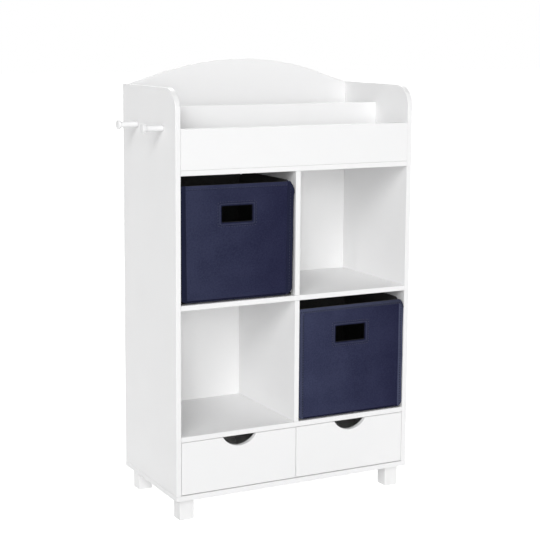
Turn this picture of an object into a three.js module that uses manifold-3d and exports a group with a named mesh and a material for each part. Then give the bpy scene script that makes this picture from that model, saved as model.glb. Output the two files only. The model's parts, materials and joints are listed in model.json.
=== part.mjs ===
// A child's cubby storage cabinet: a flat-pack carcass of white boards with a
// two-pocket book rack on top, four cubbies, two drawers, two felt bins, four
// block feet and two turned pegs. Millimetres, +Z up, the front faces -Y.

import * as THREE from 'three';
import { mergeVertices } from 'three/addons/utils/BufferGeometryUtils.js';
import Module from 'manifold-3d';

const wasm = await Module();
wasm.setup();

// Driving dimensions of the carcass
const cabinetWidth = 600;
const cabinetDepth = 300;
const board = 12;
const easedEdge = 1;
const drawerBayHeight = 122;
const cubbyHeight = 282.5;
const sideCornerRadius = 50;

// Driving dimensions of the book rack, all measured up from the rack floor
const rackSideHeight = 175;
const frontRailHeight = 89;
const midRailHeight = 130;
const frontPocketDepth = 129;
const crestShoulderRun = 83;
const crestShoulderDegrees = 17.3;

// Driving dimensions of the thin back panel
const backThickness = 3;
const backInset = 12;
const backGrooveDepth = 5;
const backLap = 6;

// Driving dimensions of the feet and pegs
const footHeight = 49;
const footSide = 34;
const footInset = 14;
const footCornerRadius = 1.5;
const pegLength = 50;
const pegRootRadius = 6.4;
const pegShaftRadius = 6.8;
const pegNeckRadius = 7.6;
const pegNeckLength = 3;
const pegCapRadius = 10.2;
const pegCapThickness = 8.5;
const pegCapEase = 1.6;
const pegCrown = 0.4;
const pegFromFront = 69;
const pegSpacing = 142;
const pegBelowTop = 87.5;

// Driving dimensions of the drawers
const drawerBoard = 12;
const drawerTopGap = 1;
const drawerBottomGap = 1.8;
const drawerSideGap = 1;
const drawerMiddleGap = 1.3;
const drawerBoxGap = 2;
const drawerBottomThickness = 3;
const drawerBottomRaise = 8;
const drawerGrooveDepth = 5;
const pullRadius = 50;
const pullDepth = 23;
const pullAboveBox = 1.7;

// Driving dimensions of the bins, the first five as the room that each leaves in its cubby
const binSideRoom = 4;
const binTopRoom = 22.2;
const binBackRoom = 8;
const binSideGap = 1.2;
const binFrontSetback = 1;
const binWall = 3.5;
const binCornerRadius = 8;
const binBoardThickness = 3;
const binHandleWidth = 75;
const binHandleHeight = 35;
const binHandleCorner = 3;
const binHandleDrop = 48.5;

// Driving dimensions of the fittings
const screwRadius = 2.2;
const screwHeadRadius = 4.8;
const screwHeadHeight = 3;
const screwRecess = 1.4;
const screwRecessRadius = 1.6;
const screwCrownRadius = 3.8;
const screwTipLength = 4;
const footCounterboreRadius = 6;
const footCounterboreDepth = 25;
const baseScrewInset = 90;
const baseScrewBite = 36;
const pegScrewBite = 24;
const camRadius = 7.2;
const camRoof = 2.2;
const camFromEnd = 24;
const camFromEdge = 40;
const camSlotDepth = 1.5;
const camSlotReach = 4.3;
const camSlotHalfWidth = 0.85;
const boltStubRadius = 2.5;
const boltCollarRadius = 3.2;
const boltCollarThickness = 2;
const boltNeckRadius = 1.9;
const boltHeadRadius = 3.1;
const boltHeadLength = 3;
const blindStop = 3;

// Clearances: a hairline at every butt joint, slack round what is let in,
// the running gap under what slides, and how far a cutter runs past the face it opens
const seam = 0.1;
const slack = 0.3;
const slideGap = 0.3;
const overcut = 1;

// How many straight steps stand for each round
const easeSteps = 2;
const smallCornerSteps = 2;
const binCornerSteps = 3;
const sideCornerSteps = 16;
const pullSteps = 18;
const crestSteps = 28;
const boreSteps = 12;
const camSteps = 20;
const pegSteps = 24;
const mergeDistance = 1e-4;

// Levels and planes of the carcass, with x = 0 in its middle and y = 0 at its front
const innerHalf = cabinetWidth / 2 - board;
const halfBoard = board / 2;
const baseTop = footHeight + board;
const lowerShelfUnderside = baseTop + drawerBayHeight;
const middleShelfUnderside = lowerShelfUnderside + board + cubbyHeight;
const topShelfUnderside = middleShelfUnderside + board + cubbyHeight;
const rackFloor = topShelfUnderside + board;
const sideTop = rackFloor + rackSideHeight;
const backFront = cabinetDepth - backInset - backThickness;
const backTop = topShelfUnderside + backLap;
const cubbyWidth = innerHalf - halfBoard;
const cubbyCentre = (innerHalf + halfBoard) / 2;
const binWidth = cubbyWidth - binSideRoom;
const binDepth = backFront - binFrontSetback - binBackRoom;
const binHeight = cubbyHeight - slideGap - binTopRoom;
const pullBottom = drawerBayHeight - drawerTopGap - pullDepth;
const pegReach = pegLength + seam;
const pegHeights = sideTop - pegBelowTop;
const pegDepths = [pegFromFront, pegFromFront + pegSpacing];
const footCentreX = cabinetWidth / 2 - footInset - footSide / 2;
const footCentresY = [footInset + footSide / 2, cabinetDepth - footInset - footSide / 2];
const baseScrewsY = [baseScrewInset, cabinetDepth - baseScrewInset];
const sideCentre = innerHalf + halfBoard;
const camCentresY = [camFromEdge, backFront - camFromEdge];
const camCentreX = innerHalf - camFromEnd;

// Looks
const whiteBoard = { color: 0xf3f3f1, roughness: 0.42, metalness: 0 };
const whitePaintedWood = { color: 0xf1f1ef, roughness: 0.38, metalness: 0 };
const whiteHardboard = { color: 0xeeeeec, roughness: 0.55, metalness: 0 };
const navyFelt = { color: 0x30344c, roughness: 0.95, metalness: 0 };
const darkCard = { color: 0x17161a, roughness: 0.9, metalness: 0 };
const zincAlloy = { color: 0xa9abae, roughness: 0.35, metalness: 0.9 };
const platedSteel = { color: 0xb9b6ab, roughness: 0.3, metalness: 1 };

const X = new THREE.Vector3(1, 0, 0);
const Y = new THREE.Vector3(0, 1, 0);
const Z = new THREE.Vector3(0, 0, 1);
const QUARTER = Math.PI / 2;

// Which way local x, y and z point when a shape drawn in x and y is extruded along each axis
const EXTRUDE_BASIS = {
  x: [Y, Z, X],
  y: [X, Z, Y.clone().negate()],
  z: [X, Y, Z],
};

// Which way local x, y and z point when a profile turned about local y lies along each direction
const TURN_BASIS = {
  z: [X, Z, Y.clone().negate()],
  x: [Z, X, Y],
  minusX: [Z, X.clone().negate(), Y.clone().negate()],
};

function reoriented(geometry, basis) {
  return geometry.applyMatrix4(new THREE.Matrix4().makeBasis(...basis));
}

// A rectangle whose corners, anticlockwise from (x0, y0), have the given radii
function rectangle(x0, y0, x1, y1, radii = [0, 0, 0, 0]) {
  const shape = new THREE.Shape();
  const corners = [
    { x: x0, y: y0, inX: 1, inY: 1 },
    { x: x1, y: y0, inX: -1, inY: 1 },
    { x: x1, y: y1, inX: -1, inY: -1 },
    { x: x0, y: y1, inX: 1, inY: -1 },
  ];
  corners.forEach((corner, index) => {
    const radius = radii[index];
    if (radius > 0) {
      const start = Math.PI + index * QUARTER;
      const centreX = corner.x + corner.inX * radius;
      const centreY = corner.y + corner.inY * radius;
      shape.absarc(centreX, centreY, radius, start, start + QUARTER, false);
    } else if (index === 0) {
      shape.moveTo(corner.x, corner.y);
    } else {
      shape.lineTo(corner.x, corner.y);
    }
  });
  return shape;
}

// Extrudes a shape from 0 to length along an axis, with both rims rounded by ease
function extruded(shape, axis, length, { ease = 0, arcSteps = smallCornerSteps } = {}) {
  const geometry = new THREE.ExtrudeGeometry(shape, {
    depth: length - 2 * ease,
    curveSegments: arcSteps,
    bevelEnabled: ease > 0,
    bevelThickness: ease,
    bevelSize: ease,
    bevelOffset: -ease,
    bevelSegments: easeSteps,
  });
  geometry.translate(0, 0, ease);
  reoriented(geometry, EXTRUDE_BASIS[axis]);
  return axis === 'y' ? geometry.translate(0, length, 0) : geometry;
}

// Turns a profile of [radius, distance] points about an axis
function turned(profile, direction, steps = boreSteps) {
  const points = profile.map(([radius, along]) => new THREE.Vector2(radius, along));
  return reoriented(new THREE.LatheGeometry(points, steps), TURN_BASIS[direction]);
}

// A plain round cutter from low to high along an axis, centred on the other two
function roundCutter(radius, low, high, direction, steps = boreSteps) {
  return turned([[0, low], [radius, low], [radius, high], [0, high]], direction, steps);
}

function boxCutter(low, high) {
  const size = high.map((value, index) => value - low[index]);
  const middle = high.map((value, index) => (value + low[index]) / 2);
  return new THREE.BoxGeometry(...size).translate(...middle);
}

function toSolid(geometry) {
  const bare = geometry.clone();
  bare.deleteAttribute('normal');
  bare.deleteAttribute('uv');
  const merged = mergeVertices(bare, mergeDistance);
  const corners = merged.index.array;
  const kept = [];
  for (let i = 0; i < corners.length; i += 3) {
    const [a, b, c] = corners.slice(i, i + 3);
    if (a !== b && b !== c && c !== a) kept.push(a, b, c);
  }
  return new wasm.Manifold(new wasm.Mesh({
    numProp: 3,
    vertProperties: merged.attributes.position.array,
    triVerts: new Uint32Array(kept),
  }));
}

function toGeometry(solid) {
  const { vertProperties, triVerts } = solid.getMesh();
  const geometry = new THREE.BufferGeometry();
  geometry.setAttribute('position', new THREE.BufferAttribute(vertProperties, 3));
  geometry.setIndex(new THREE.BufferAttribute(triVerts, 1));
  return geometry;
}

function cut(geometry, cutters) {
  const solid = cutters.reduce((left, cutter) => left.subtract(toSolid(cutter)), toSolid(geometry));
  return toGeometry(solid);
}

function piece(name, geometry, look, position = [0, 0, 0]) {
  const shown = geometry.index ? geometry.toNonIndexed() : geometry;
  shown.computeVertexNormals();
  const mesh = new THREE.Mesh(shown, new THREE.MeshStandardMaterial(look));
  mesh.name = name;
  mesh.position.set(...position);
  return mesh;
}

function group(...children) {
  const holder = new THREE.Group();
  holder.add(...children);
  return holder;
}

const sides = [{ word: 'left', sign: -1 }, { word: 'right', sign: 1 }];
const ends = ['front', 'back'];

// A board's cross-section whose first edge, at low y, faces the front and is eased
function frontEasedSection(depth, thickness) {
  return rectangle(0, 0, depth, thickness, [easedEdge, 0, 0, easedEdge]);
}

// Countersunk wood screw along +distance, its flat head at 0 and its tip at length
function woodScrew(length, direction) {
  const profile = [
    [0, screwRecess],
    [screwRecessRadius, 0],
    [screwHeadRadius, 0],
    [screwRadius, screwHeadHeight],
    [screwRadius, length - screwTipLength],
    [0, length],
  ];
  return turned(profile, direction);
}

// The hole that a countersunk wood screw goes through or into
function woodScrewHole(length, direction) {
  const headClear = screwHeadRadius + slack;
  const shankClear = screwRadius + slack;
  const profile = [
    [0, -overcut],
    [headClear, -overcut],
    [headClear, 0],
    [shankClear, screwHeadHeight],
    [shankClear, length + slack],
    [0, length + slack],
  ];
  return turned(profile, direction);
}

// Where the four cam locks of a shelf sit, with the name of each corner
function camPlaces() {
  const places = [];
  for (const side of sides) {
    ends.forEach((end, index) => {
      places.push({ word: `${end}_${side.word}`, sign: side.sign, y: camCentresY[index] });
    });
  }
  return places;
}

function sidePanel(side) {
  const height = sideTop - baseTop - seam;
  const outline = rectangle(0, 0, cabinetDepth, height, [0, 0, 0, sideCornerRadius]);
  const outerX = side.sign * cabinetWidth / 2;
  const innerX = side.sign * innerHalf;
  const panel = extruded(outline, 'x', board, { ease: easedEdge, arcSteps: sideCornerSteps });
  panel.translate(Math.min(outerX, innerX), 0, baseTop + seam);

  const grooveEnd = innerX + side.sign * backGrooveDepth;
  const mouth = innerX - side.sign * overcut;
  const groove = boxCutter(
    [Math.min(mouth, grooveEnd), backFront - slack, baseTop - overcut],
    [Math.max(mouth, grooveEnd), backFront + backThickness + slack, backTop + slack],
  );
  const cutters = [groove];
  const outward = side.sign > 0 ? 'x' : 'minusX';
  for (const underside of [middleShelfUnderside, topShelfUnderside]) {
    for (const y of camCentresY) {
      const depth = board - blindStop + slack;
      const bore = roundCutter(boltStubRadius + slack, -overcut, depth, outward);
      cutters.push(bore.translate(innerX, y, underside + halfBoard));
    }
  }
  for (const y of baseScrewsY) {
    const pilot = roundCutter(screwRadius + slack, -overcut, baseScrewBite + slack, 'z');
    cutters.push(pilot.translate(side.sign * sideCentre, y, baseTop + seam));
  }
  if (side.word === 'left') {
    for (const y of pegDepths) {
      cutters.push(woodScrewHole(board + pegScrewBite, 'minusX').translate(innerX, y, pegHeights));
    }
  }
  return piece(`${side.word}_side_panel`, cut(panel, cutters), whiteBoard);
}

function basePanel() {
  const half = cabinetWidth / 2;
  const outline = rectangle(-half, 0, half, cabinetDepth);
  const slab = extruded(outline, 'z', board, { ease: easedEdge }).translate(0, 0, footHeight);
  const grooveHalf = innerHalf + backGrooveDepth;
  const cutters = [boxCutter(
    [-grooveHalf, backFront - slack, baseTop - backGrooveDepth],
    [grooveHalf, backFront + backThickness + slack, baseTop + overcut],
  )];
  for (const side of sides) {
    for (const y of baseScrewsY) {
      const hole = woodScrewHole(board + baseScrewBite, 'z');
      cutters.push(hole.translate(side.sign * sideCentre, y, footHeight));
    }
    for (const y of footCentresY) {
      const pilot = roundCutter(screwRadius + slack, -overcut, board - blindStop + slack, 'z');
      cutters.push(pilot.translate(side.sign * footCentreX, y, footHeight));
    }
  }
  return piece('base_panel', cut(slab, cutters), whiteBoard);
}

// A plain shelf between the side panels, from its underside up
function shelfBoard() {
  const length = 2 * (innerHalf - seam);
  const section = frontEasedSection(backFront - seam, board - seam);
  return extruded(section, 'x', length).translate(-length / 2, 0, 0);
}

function camShelf(name, underside) {
  const cutters = camPlaces().flatMap((place) => {
    const well = roundCutter(camRadius + slack, -overcut, board - camRoof, 'z', camSteps);
    const run = roundCutter(boltCollarRadius + slack, 0, camFromEnd + overcut, 'x');
    const runStart = place.sign > 0 ? camCentreX : -innerHalf - overcut;
    return [
      well.translate(place.sign * camCentreX, place.y, 0),
      run.translate(runStart, place.y, halfBoard),
    ];
  });
  return piece(name, cut(shelfBoard(), cutters), whiteBoard, [0, 0, underside]);
}

// An upright divider standing on a board, its front edge set back from the front
function divider(name, floor, height, setback) {
  const depth = backFront - seam - setback;
  const section = rectangle(-halfBoard, 0, halfBoard, depth, [easedEdge, easedEdge, 0, 0]);
  return piece(name, extruded(section, 'z', height - 2 * seam), whiteBoard, [0, setback, floor + seam]);
}

// A rail of the book rack, standing on the rack floor with its top edges eased
function rackRail(name, front, height) {
  const length = 2 * (innerHalf - seam);
  const section = rectangle(0, 0, board, height - seam, [0, 0, easedEdge, easedEdge]);
  const bar = extruded(section, 'x', length).translate(-length / 2, 0, 0);
  return piece(name, bar, whiteBoard, [0, front, rackFloor + seam]);
}

// The crest: straight shoulders rise from the side panels and run into one shallow arc
function crestPanel() {
  const half = innerHalf - seam;
  const slope = THREE.MathUtils.degToRad(crestShoulderDegrees);
  const shoulderTop = sideTop + crestShoulderRun * Math.tan(slope);
  const arcRadius = (half - crestShoulderRun) / Math.sin(slope);
  const arcCentre = shoulderTop - arcRadius * Math.cos(slope);
  const outline = new THREE.Shape();
  outline.moveTo(-half, topShelfUnderside);
  outline.lineTo(half, topShelfUnderside);
  outline.lineTo(half, sideTop);
  outline.absarc(0, arcCentre, arcRadius, QUARTER - slope, QUARTER + slope, false);
  outline.lineTo(-half, sideTop);
  const slab = extruded(outline, 'y', board, { ease: easedEdge, arcSteps: crestSteps });
  slab.translate(0, backFront, 0);
  const rabbet = boxCutter(
    [-half - overcut, backFront - overcut, topShelfUnderside - overcut],
    [half + overcut, backFront + backThickness + slack, backTop + slack],
  );
  return piece('crest_panel', cut(slab, [rabbet]), whiteBoard);
}

// The thin back panel, let into grooves in the sides and base and a rabbet in the crest
function backPanel() {
  const half = innerHalf + backGrooveDepth - slack;
  const bottom = baseTop - backGrooveDepth + slack;
  const outline = rectangle(-half, bottom, half, backTop);
  const sheet = extruded(outline, 'y', backThickness);
  return piece('back_panel', sheet, whiteHardboard, [0, backFront, 0]);
}

// One foot: a block counterbored from below for its screw
function footBlock() {
  const half = footSide / 2;
  const outline = rectangle(-half, -half, half, half, Array(4).fill(footCornerRadius));
  const block = extruded(outline, 'z', footHeight - seam, { ease: easedEdge });
  return cut(block, [
    roundCutter(footCounterboreRadius, -overcut, footCounterboreDepth, 'z'),
    roundCutter(screwRadius + slack, 0, footHeight + overcut, 'z'),
  ]);
}

function feet() {
  const holder = new THREE.Group();
  const screwLength = footHeight - footCounterboreDepth + board - blindStop;
  for (const side of sides) {
    ends.forEach((end, index) => {
      const place = [side.sign * footCentreX, footCentresY[index], 0];
      const seat = [place[0], place[1], footCounterboreDepth + slack];
      const corner = `${end}_${side.word}`;
      holder.add(piece(`foot_${corner}`, footBlock(), whitePaintedWood, place));
      holder.add(piece(`foot_screw_${corner}`, footScrew(screwLength - slack), platedSteel, seat));
    });
  }
  return holder;
}

// Pan-head screw of a foot: its head hangs below the seat and its shank runs up
function footScrew(length) {
  const profile = [
    [0, -screwHeadHeight + screwRecess],
    [screwRecessRadius, -screwHeadHeight],
    [screwCrownRadius, -screwHeadHeight],
    [screwHeadRadius, -screwHeadHeight / 2],
    [screwHeadRadius, -2 * slack],
    [screwRadius, -2 * slack],
    [screwRadius, length - screwTipLength],
    [0, length],
  ];
  return turned(profile, 'z');
}

function baseScrews() {
  const holder = new THREE.Group();
  for (const side of sides) {
    ends.forEach((end, index) => {
      const screw = woodScrew(board + baseScrewBite, 'z');
      const place = [side.sign * sideCentre, baseScrewsY[index], footHeight];
      holder.add(piece(`base_screw_${end}_${side.word}`, screw, platedSteel, place));
    });
  }
  return holder;
}

// A coat peg turned in one piece: a shaft that swells into a round cap, bored for its screw
function pegBody() {
  const neck = pegLength - pegCapThickness;
  const profile = [
    [0, 0],
    [pegRootRadius, 0],
    [pegShaftRadius, neck - pegNeckLength],
    [pegNeckRadius, neck],
    [pegCapRadius - pegCapEase, neck],
    [pegCapRadius, neck + pegCapEase],
    [pegCapRadius, pegLength - pegCapEase],
    [pegCapRadius - pegCapEase, pegLength - pegCrown],
    [0, pegLength],
  ];
  const bore = roundCutter(screwRadius + slack, -overcut, pegScrewBite + slack, 'minusX');
  return cut(turned(profile, 'minusX', pegSteps), [bore]);
}

function pegs() {
  const holder = new THREE.Group();
  ends.forEach((end, index) => {
    const y = pegDepths[index];
    const face = [-cabinetWidth / 2 - seam, y, pegHeights];
    const screw = woodScrew(board + pegScrewBite, 'minusX');
    holder.add(piece(`${end}_peg`, pegBody(), whitePaintedWood, face));
    holder.add(piece(`${end}_peg_screw`, screw, platedSteel, [-innerHalf, y, pegHeights]));
  });
  return holder;
}

// A cam: a short drum with a jaw, open towards +x and upwards, that traps the bolt's head
function camBody() {
  const height = board - camRoof - slack;
  const pocketHalf = boltHeadRadius + slack;
  const neckHalf = boltNeckRadius + slack;
  const drum = roundCutter(camRadius, 0, height, 'z', camSteps);
  const pocketLow = halfBoard - pocketHalf;
  const pocket = boxCutter(
    [-boltHeadLength / 2 - slack, -pocketHalf, pocketLow],
    [boltHeadLength / 2 + slack, pocketHalf, height + overcut],
  );
  const throat = boxCutter(
    [0, -neckHalf, halfBoard - neckHalf],
    [camRadius + overcut, neckHalf, height + overcut],
  );
  const slot = (x, y) => boxCutter([-x, -y, -overcut], [x, y, camSlotDepth]);
  return cut(drum, [
    pocket,
    throat,
    slot(camSlotReach, camSlotHalfWidth),
    slot(camSlotHalfWidth, camSlotReach),
  ]);
}

// A cam bolt along +distance from the side panel's inner face, its stub behind 0
function camBolt(direction) {
  const headEnd = camFromEnd + boltHeadLength / 2;
  const headStart = headEnd - boltHeadLength;
  const neckStart = camFromEnd - camRadius - 2 * slack;
  const profile = [
    [0, blindStop - board],
    [boltStubRadius, blindStop - board],
    [boltStubRadius, slack],
    [boltCollarRadius, slack],
    [boltCollarRadius, slack + boltCollarThickness],
    [boltStubRadius, slack + boltCollarThickness],
    [boltStubRadius, neckStart - slack],
    [boltNeckRadius, neckStart],
    [boltNeckRadius, headStart],
    [boltHeadRadius, headStart],
    [boltHeadRadius, headEnd],
    [0, headEnd],
  ];
  return turned(profile, direction);
}

function camLocks(shelfName, underside) {
  const holder = new THREE.Group();
  for (const place of camPlaces()) {
    const cam = piece(`${shelfName}_cam_${place.word}`, camBody(), zincAlloy);
    cam.position.set(place.sign * camCentreX, place.y, underside);
    cam.rotation.z = place.sign > 0 ? 0 : Math.PI;
    const inward = place.sign > 0 ? 'minusX' : 'x';
    const bolt = piece(`${shelfName}_bolt_${place.word}`, camBolt(inward), platedSteel);
    bolt.position.set(place.sign * innerHalf, place.y, underside + halfBoard);
    holder.add(cam, bolt);
  }
  return holder;
}

// One drawer about its own middle in x, with its front face at y = 0 and z = 0 on the base
function drawer(side) {
  const frontInner = drawerMiddleGap / 2 - cubbyCentre;
  const frontOuter = innerHalf - drawerSideGap - cubbyCentre;
  const frontLow = side.sign > 0 ? frontInner : -frontOuter;
  const frontHigh = side.sign > 0 ? frontOuter : -frontInner;
  const frontTop = drawerBayHeight - drawerTopGap;
  const boxHalf = cubbyWidth / 2 - drawerBoxGap;
  const boxStart = drawerBoard + seam;
  const boxEnd = backFront - slack;
  const boxTop = pullBottom - pullAboveBox;
  const grooveLow = slideGap + drawerBottomRaise;
  const grooveHigh = grooveLow + drawerBottomThickness + 2 * slack;
  const sheetHalf = boxHalf - drawerBoard + drawerGrooveDepth - slack;

  const outline = new THREE.Shape();
  const pullCentreX = (frontLow + frontHigh) / 2;
  const pullCentreZ = pullBottom + pullRadius;
  const pullHalfAngle = Math.acos((pullRadius - pullDepth) / pullRadius);
  const pullFrom = -QUARTER + pullHalfAngle;
  const pullTo = -QUARTER - pullHalfAngle;
  outline.moveTo(frontLow, drawerBottomGap);
  outline.lineTo(frontHigh, drawerBottomGap);
  outline.lineTo(frontHigh, frontTop);
  outline.absarc(pullCentreX, pullCentreZ, pullRadius, pullFrom, pullTo, true);
  outline.lineTo(frontLow, frontTop);
  const face = extruded(outline, 'y', drawerBoard, { ease: easedEdge, arcSteps: pullSteps });
  const faceGroove = boxCutter(
    [-sheetHalf - slack, drawerBoard - drawerGrooveDepth, grooveLow],
    [sheetHalf + slack, drawerBoard + overcut, grooveHigh],
  );

  const wallSection = rectangle(boxStart, slideGap, boxEnd, boxTop);
  const walls = sides.map((wall) => {
    const inner = wall.sign * (boxHalf - drawerBoard);
    const outer = wall.sign * boxHalf;
    const slab = extruded(wallSection, 'x', drawerBoard).translate(Math.min(inner, outer), 0, 0);
    const grooveEnd = inner + wall.sign * drawerGrooveDepth;
    const mouth = inner - wall.sign * overcut;
    const groove = boxCutter(
      [Math.min(mouth, grooveEnd), boxStart - overcut, grooveLow],
      [Math.max(mouth, grooveEnd), boxEnd + overcut, grooveHigh],
    );
    return piece(`${side.word}_drawer_${wall.word}_wall`, cut(slab, [groove]), whiteBoard);
  });

  const backHalf = boxHalf - drawerBoard - seam;
  const rearOutline = rectangle(-backHalf, grooveHigh, backHalf, boxTop);
  const rear = extruded(rearOutline, 'y', drawerBoard).translate(0, boxEnd - drawerBoard, 0);

  const sheetStart = drawerBoard - drawerGrooveDepth + slack;
  const sheetOutline = rectangle(-sheetHalf, sheetStart, sheetHalf, boxEnd);
  const sheet = extruded(sheetOutline, 'z', drawerBottomThickness).translate(0, 0, grooveLow + slack);

  const holder = group(
    piece(`${side.word}_drawer_front`, cut(face, [faceGroove]), whiteBoard),
    ...walls,
    piece(`${side.word}_drawer_rear`, rear, whiteBoard),
    piece(`${side.word}_drawer_bottom`, sheet, whiteHardboard),
  );
  holder.position.set(side.sign * cubbyCentre, 0, baseTop);
  return holder;
}

// One folding bin about its own middle in x, with its front at y = 0 and its floor at z = 0
function bin(name) {
  const half = binWidth / 2;
  const radii = Array(4).fill(binCornerRadius);
  const innerRadii = Array(4).fill(binCornerRadius - binWall);
  const boardInset = binWall + slack;
  const inset = (by) => rectangle(-half + by, by, half - by, binDepth - by, by > 0 ? innerRadii : radii);
  const handleTop = binHeight - binHandleDrop;
  const handleHalf = binHandleWidth / 2;
  const handle = rectangle(
    -handleHalf,
    handleTop - binHandleHeight,
    handleHalf,
    handleTop,
    Array(4).fill(binHandleCorner),
  );
  const round = { arcSteps: binCornerSteps };
  const shell = cut(extruded(inset(0), 'z', binHeight, round), [
    extruded(inset(binWall), 'z', binHeight, round).translate(0, 0, binWall),
    extruded(handle, 'y', binWall + 2 * overcut).translate(0, -overcut, 0),
  ]);
  const floorBoard = extruded(inset(boardInset), 'z', binBoardThickness, round);
  return group(
    piece(`${name}_cover`, shell, navyFelt),
    piece(`${name}_floor_board`, floorBoard, darkCard, [0, 0, boardInset]),
  );
}

function bins() {
  const reach = innerHalf - binSideGap - binWidth / 2;
  const floor = board + slideGap;
  const upper = bin('upper_bin');
  upper.position.set(-reach, binFrontSetback, middleShelfUnderside + floor);
  const lower = bin('lower_bin');
  lower.position.set(reach, binFrontSetback, lowerShelfUnderside + floor);
  return group(upper, lower);
}

const carcass = group(
  ...sides.map(sidePanel),
  basePanel(),
  piece('lower_shelf', shelfBoard(), whiteBoard, [0, 0, lowerShelfUnderside]),
  camShelf('middle_shelf', middleShelfUnderside),
  camShelf('top_shelf', topShelfUnderside),
  divider('drawer_divider', baseTop, drawerBayHeight, drawerBoard + drawerBoxGap),
  divider('lower_divider', lowerShelfUnderside + board, cubbyHeight, 0),
  divider('upper_divider', middleShelfUnderside + board, cubbyHeight, 0),
  backPanel(),
);

const bookRack = group(
  rackRail('front_rail', 0, frontRailHeight),
  rackRail('mid_rail', board + frontPocketDepth, midRailHeight),
  crestPanel(),
);

const fittings = group(
  baseScrews(),
  camLocks('middle_shelf', middleShelfUnderside),
  camLocks('top_shelf', topShelfUnderside),
);

// The origin is on the floor under the middle of the whole, pegs included
const cabinet = group(carcass, bookRack, feet(), pegs(), fittings, ...sides.map(drawer), bins());
cabinet.position.set(pegReach / 2, -cabinetDepth / 2, 0);

const storageCabinet = group(cabinet);
storageCabinet.name = 'cubby_storage_cabinet';

export default storageCabinet;
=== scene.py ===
"""Looks of a child's cubby storage cabinet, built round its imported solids.

The cabinet's boards, drawers and fittings stay as they are and get their finish here. The two
felt bins and the coat pegs are modelled afresh as surfaces worked out with numpy. Lengths are
in metres, +Z is up and the front faces -Y.
"""

import json
import logging
import math
from dataclasses import dataclass, field, replace
from enum import Enum

import bpy
import numpy as np
from mathutils import Matrix, Vector


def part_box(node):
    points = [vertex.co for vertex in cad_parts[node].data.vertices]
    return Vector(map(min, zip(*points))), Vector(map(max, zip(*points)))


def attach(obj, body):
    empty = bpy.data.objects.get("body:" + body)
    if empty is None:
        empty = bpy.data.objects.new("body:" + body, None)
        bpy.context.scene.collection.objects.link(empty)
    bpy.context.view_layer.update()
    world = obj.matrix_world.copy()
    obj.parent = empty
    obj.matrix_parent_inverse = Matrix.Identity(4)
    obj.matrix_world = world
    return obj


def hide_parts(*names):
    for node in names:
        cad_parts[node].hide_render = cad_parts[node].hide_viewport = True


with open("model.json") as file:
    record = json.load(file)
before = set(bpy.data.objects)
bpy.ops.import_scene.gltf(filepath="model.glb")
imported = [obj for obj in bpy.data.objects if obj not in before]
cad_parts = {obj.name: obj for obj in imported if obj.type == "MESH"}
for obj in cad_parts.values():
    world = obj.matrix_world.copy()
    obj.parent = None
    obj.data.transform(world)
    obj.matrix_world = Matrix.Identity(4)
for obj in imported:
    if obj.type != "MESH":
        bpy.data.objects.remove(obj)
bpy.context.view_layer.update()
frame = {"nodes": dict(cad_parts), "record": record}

LOG = logging.getLogger("cubby_cabinet")

PAINTED_SHADING = "painted_shading"  # the point attribute that holds each point's share of painted light and shade on felt
BEND_STEPS = 7  # steps of a bend round a corner or an edge
PROBE = 0.001  # how far out a second point lies that gives the direction outwards

Feed = bpy.types.NodeSocket | float | tuple
Colour = tuple[float, float, float]


# Node trees


class Graph:
    """A node tree under construction, with one short method for each kind of node used here."""

    def __init__(self, tree: bpy.types.NodeTree) -> None:
        """Keeps the tree that the nodes go into."""
        self.tree = tree

    def feed(self, socket: bpy.types.NodeSocket, value: Feed) -> None:
        """Links a socket's output to an input, or writes a plain value into it.

        Args:
            socket: the input to fill.
            value: another node's output, or a number, colour or vector.
        """
        if isinstance(value, bpy.types.NodeSocket):
            self.tree.links.new(value, socket)
        else:
            socket.default_value = value

    def node(self, kind: str, feeds: dict | None = None, **settings: object) -> bpy.types.Node:
        """Adds a node.

        Args:
            kind: the node's type name.
            feeds: what goes into its inputs, by name or index.
            **settings: the node's own properties.

        Returns:
            The new node.
        """
        made = self.tree.nodes.new(kind)
        for key, value in settings.items():
            setattr(made, key, value)
        for key, value in (feeds or {}).items():
            self.feed(made.inputs[key], value)
        return made

    def math(self, operation: str, first: Feed, second: Feed = 0.0) -> bpy.types.NodeSocket:
        """Returns the result of one arithmetic operation on two values."""
        return self.node("ShaderNodeMath", {0: first, 1: second}, operation=operation).outputs[0]

    def blend(self, share: Feed, first: Feed, second: Feed) -> bpy.types.NodeSocket:
        """Returns the colour that lies between two others by a share from 0 to 1."""
        feeds = {0: share, 6: first, 7: second}
        return self.node("ShaderNodeMix", feeds, data_type="RGBA").outputs[2]

    def span(
        self, value: Feed, low: float, high: float, to_low: float = 0.0, to_high: float = 1.0
    ) -> bpy.types.NodeSocket:
        """Returns value carried from the range low..high to to_low..to_high, and clamped."""
        feeds = {0: value, 1: low, 2: high, 3: to_low, 4: to_high}
        return self.node("ShaderNodeMapRange", feeds).outputs[0]

    def noise(
        self, place: Feed, scale: Feed, detail: float = 2.0, distortion: float = 0.0
    ) -> bpy.types.NodeSocket:
        """Returns cloudy noise from 0 to 1, scale being about its features per metre."""
        feeds = {"Vector": place, "Scale": scale, "Detail": detail, "Distortion": distortion}
        return self.node("ShaderNodeTexNoise", feeds).outputs[0]

    def bump(self, height: Feed, depth: float, normal: Feed | None = None) -> bpy.types.NodeSocket:
        """Turns a relief into a normal.

        Args:
            height: the relief, from 0 to 1.
            depth: the relief's full depth in metres.
            normal: the normal underneath, or None for the surface's own.

        Returns:
            The normal that the relief gives.
        """
        made = self.node("ShaderNodeBump", {"Height": height, "Distance": depth, "Strength": 1.0})
        if normal is not None:
            self.feed(made.inputs["Normal"], normal)
        return made.outputs[0]


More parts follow.
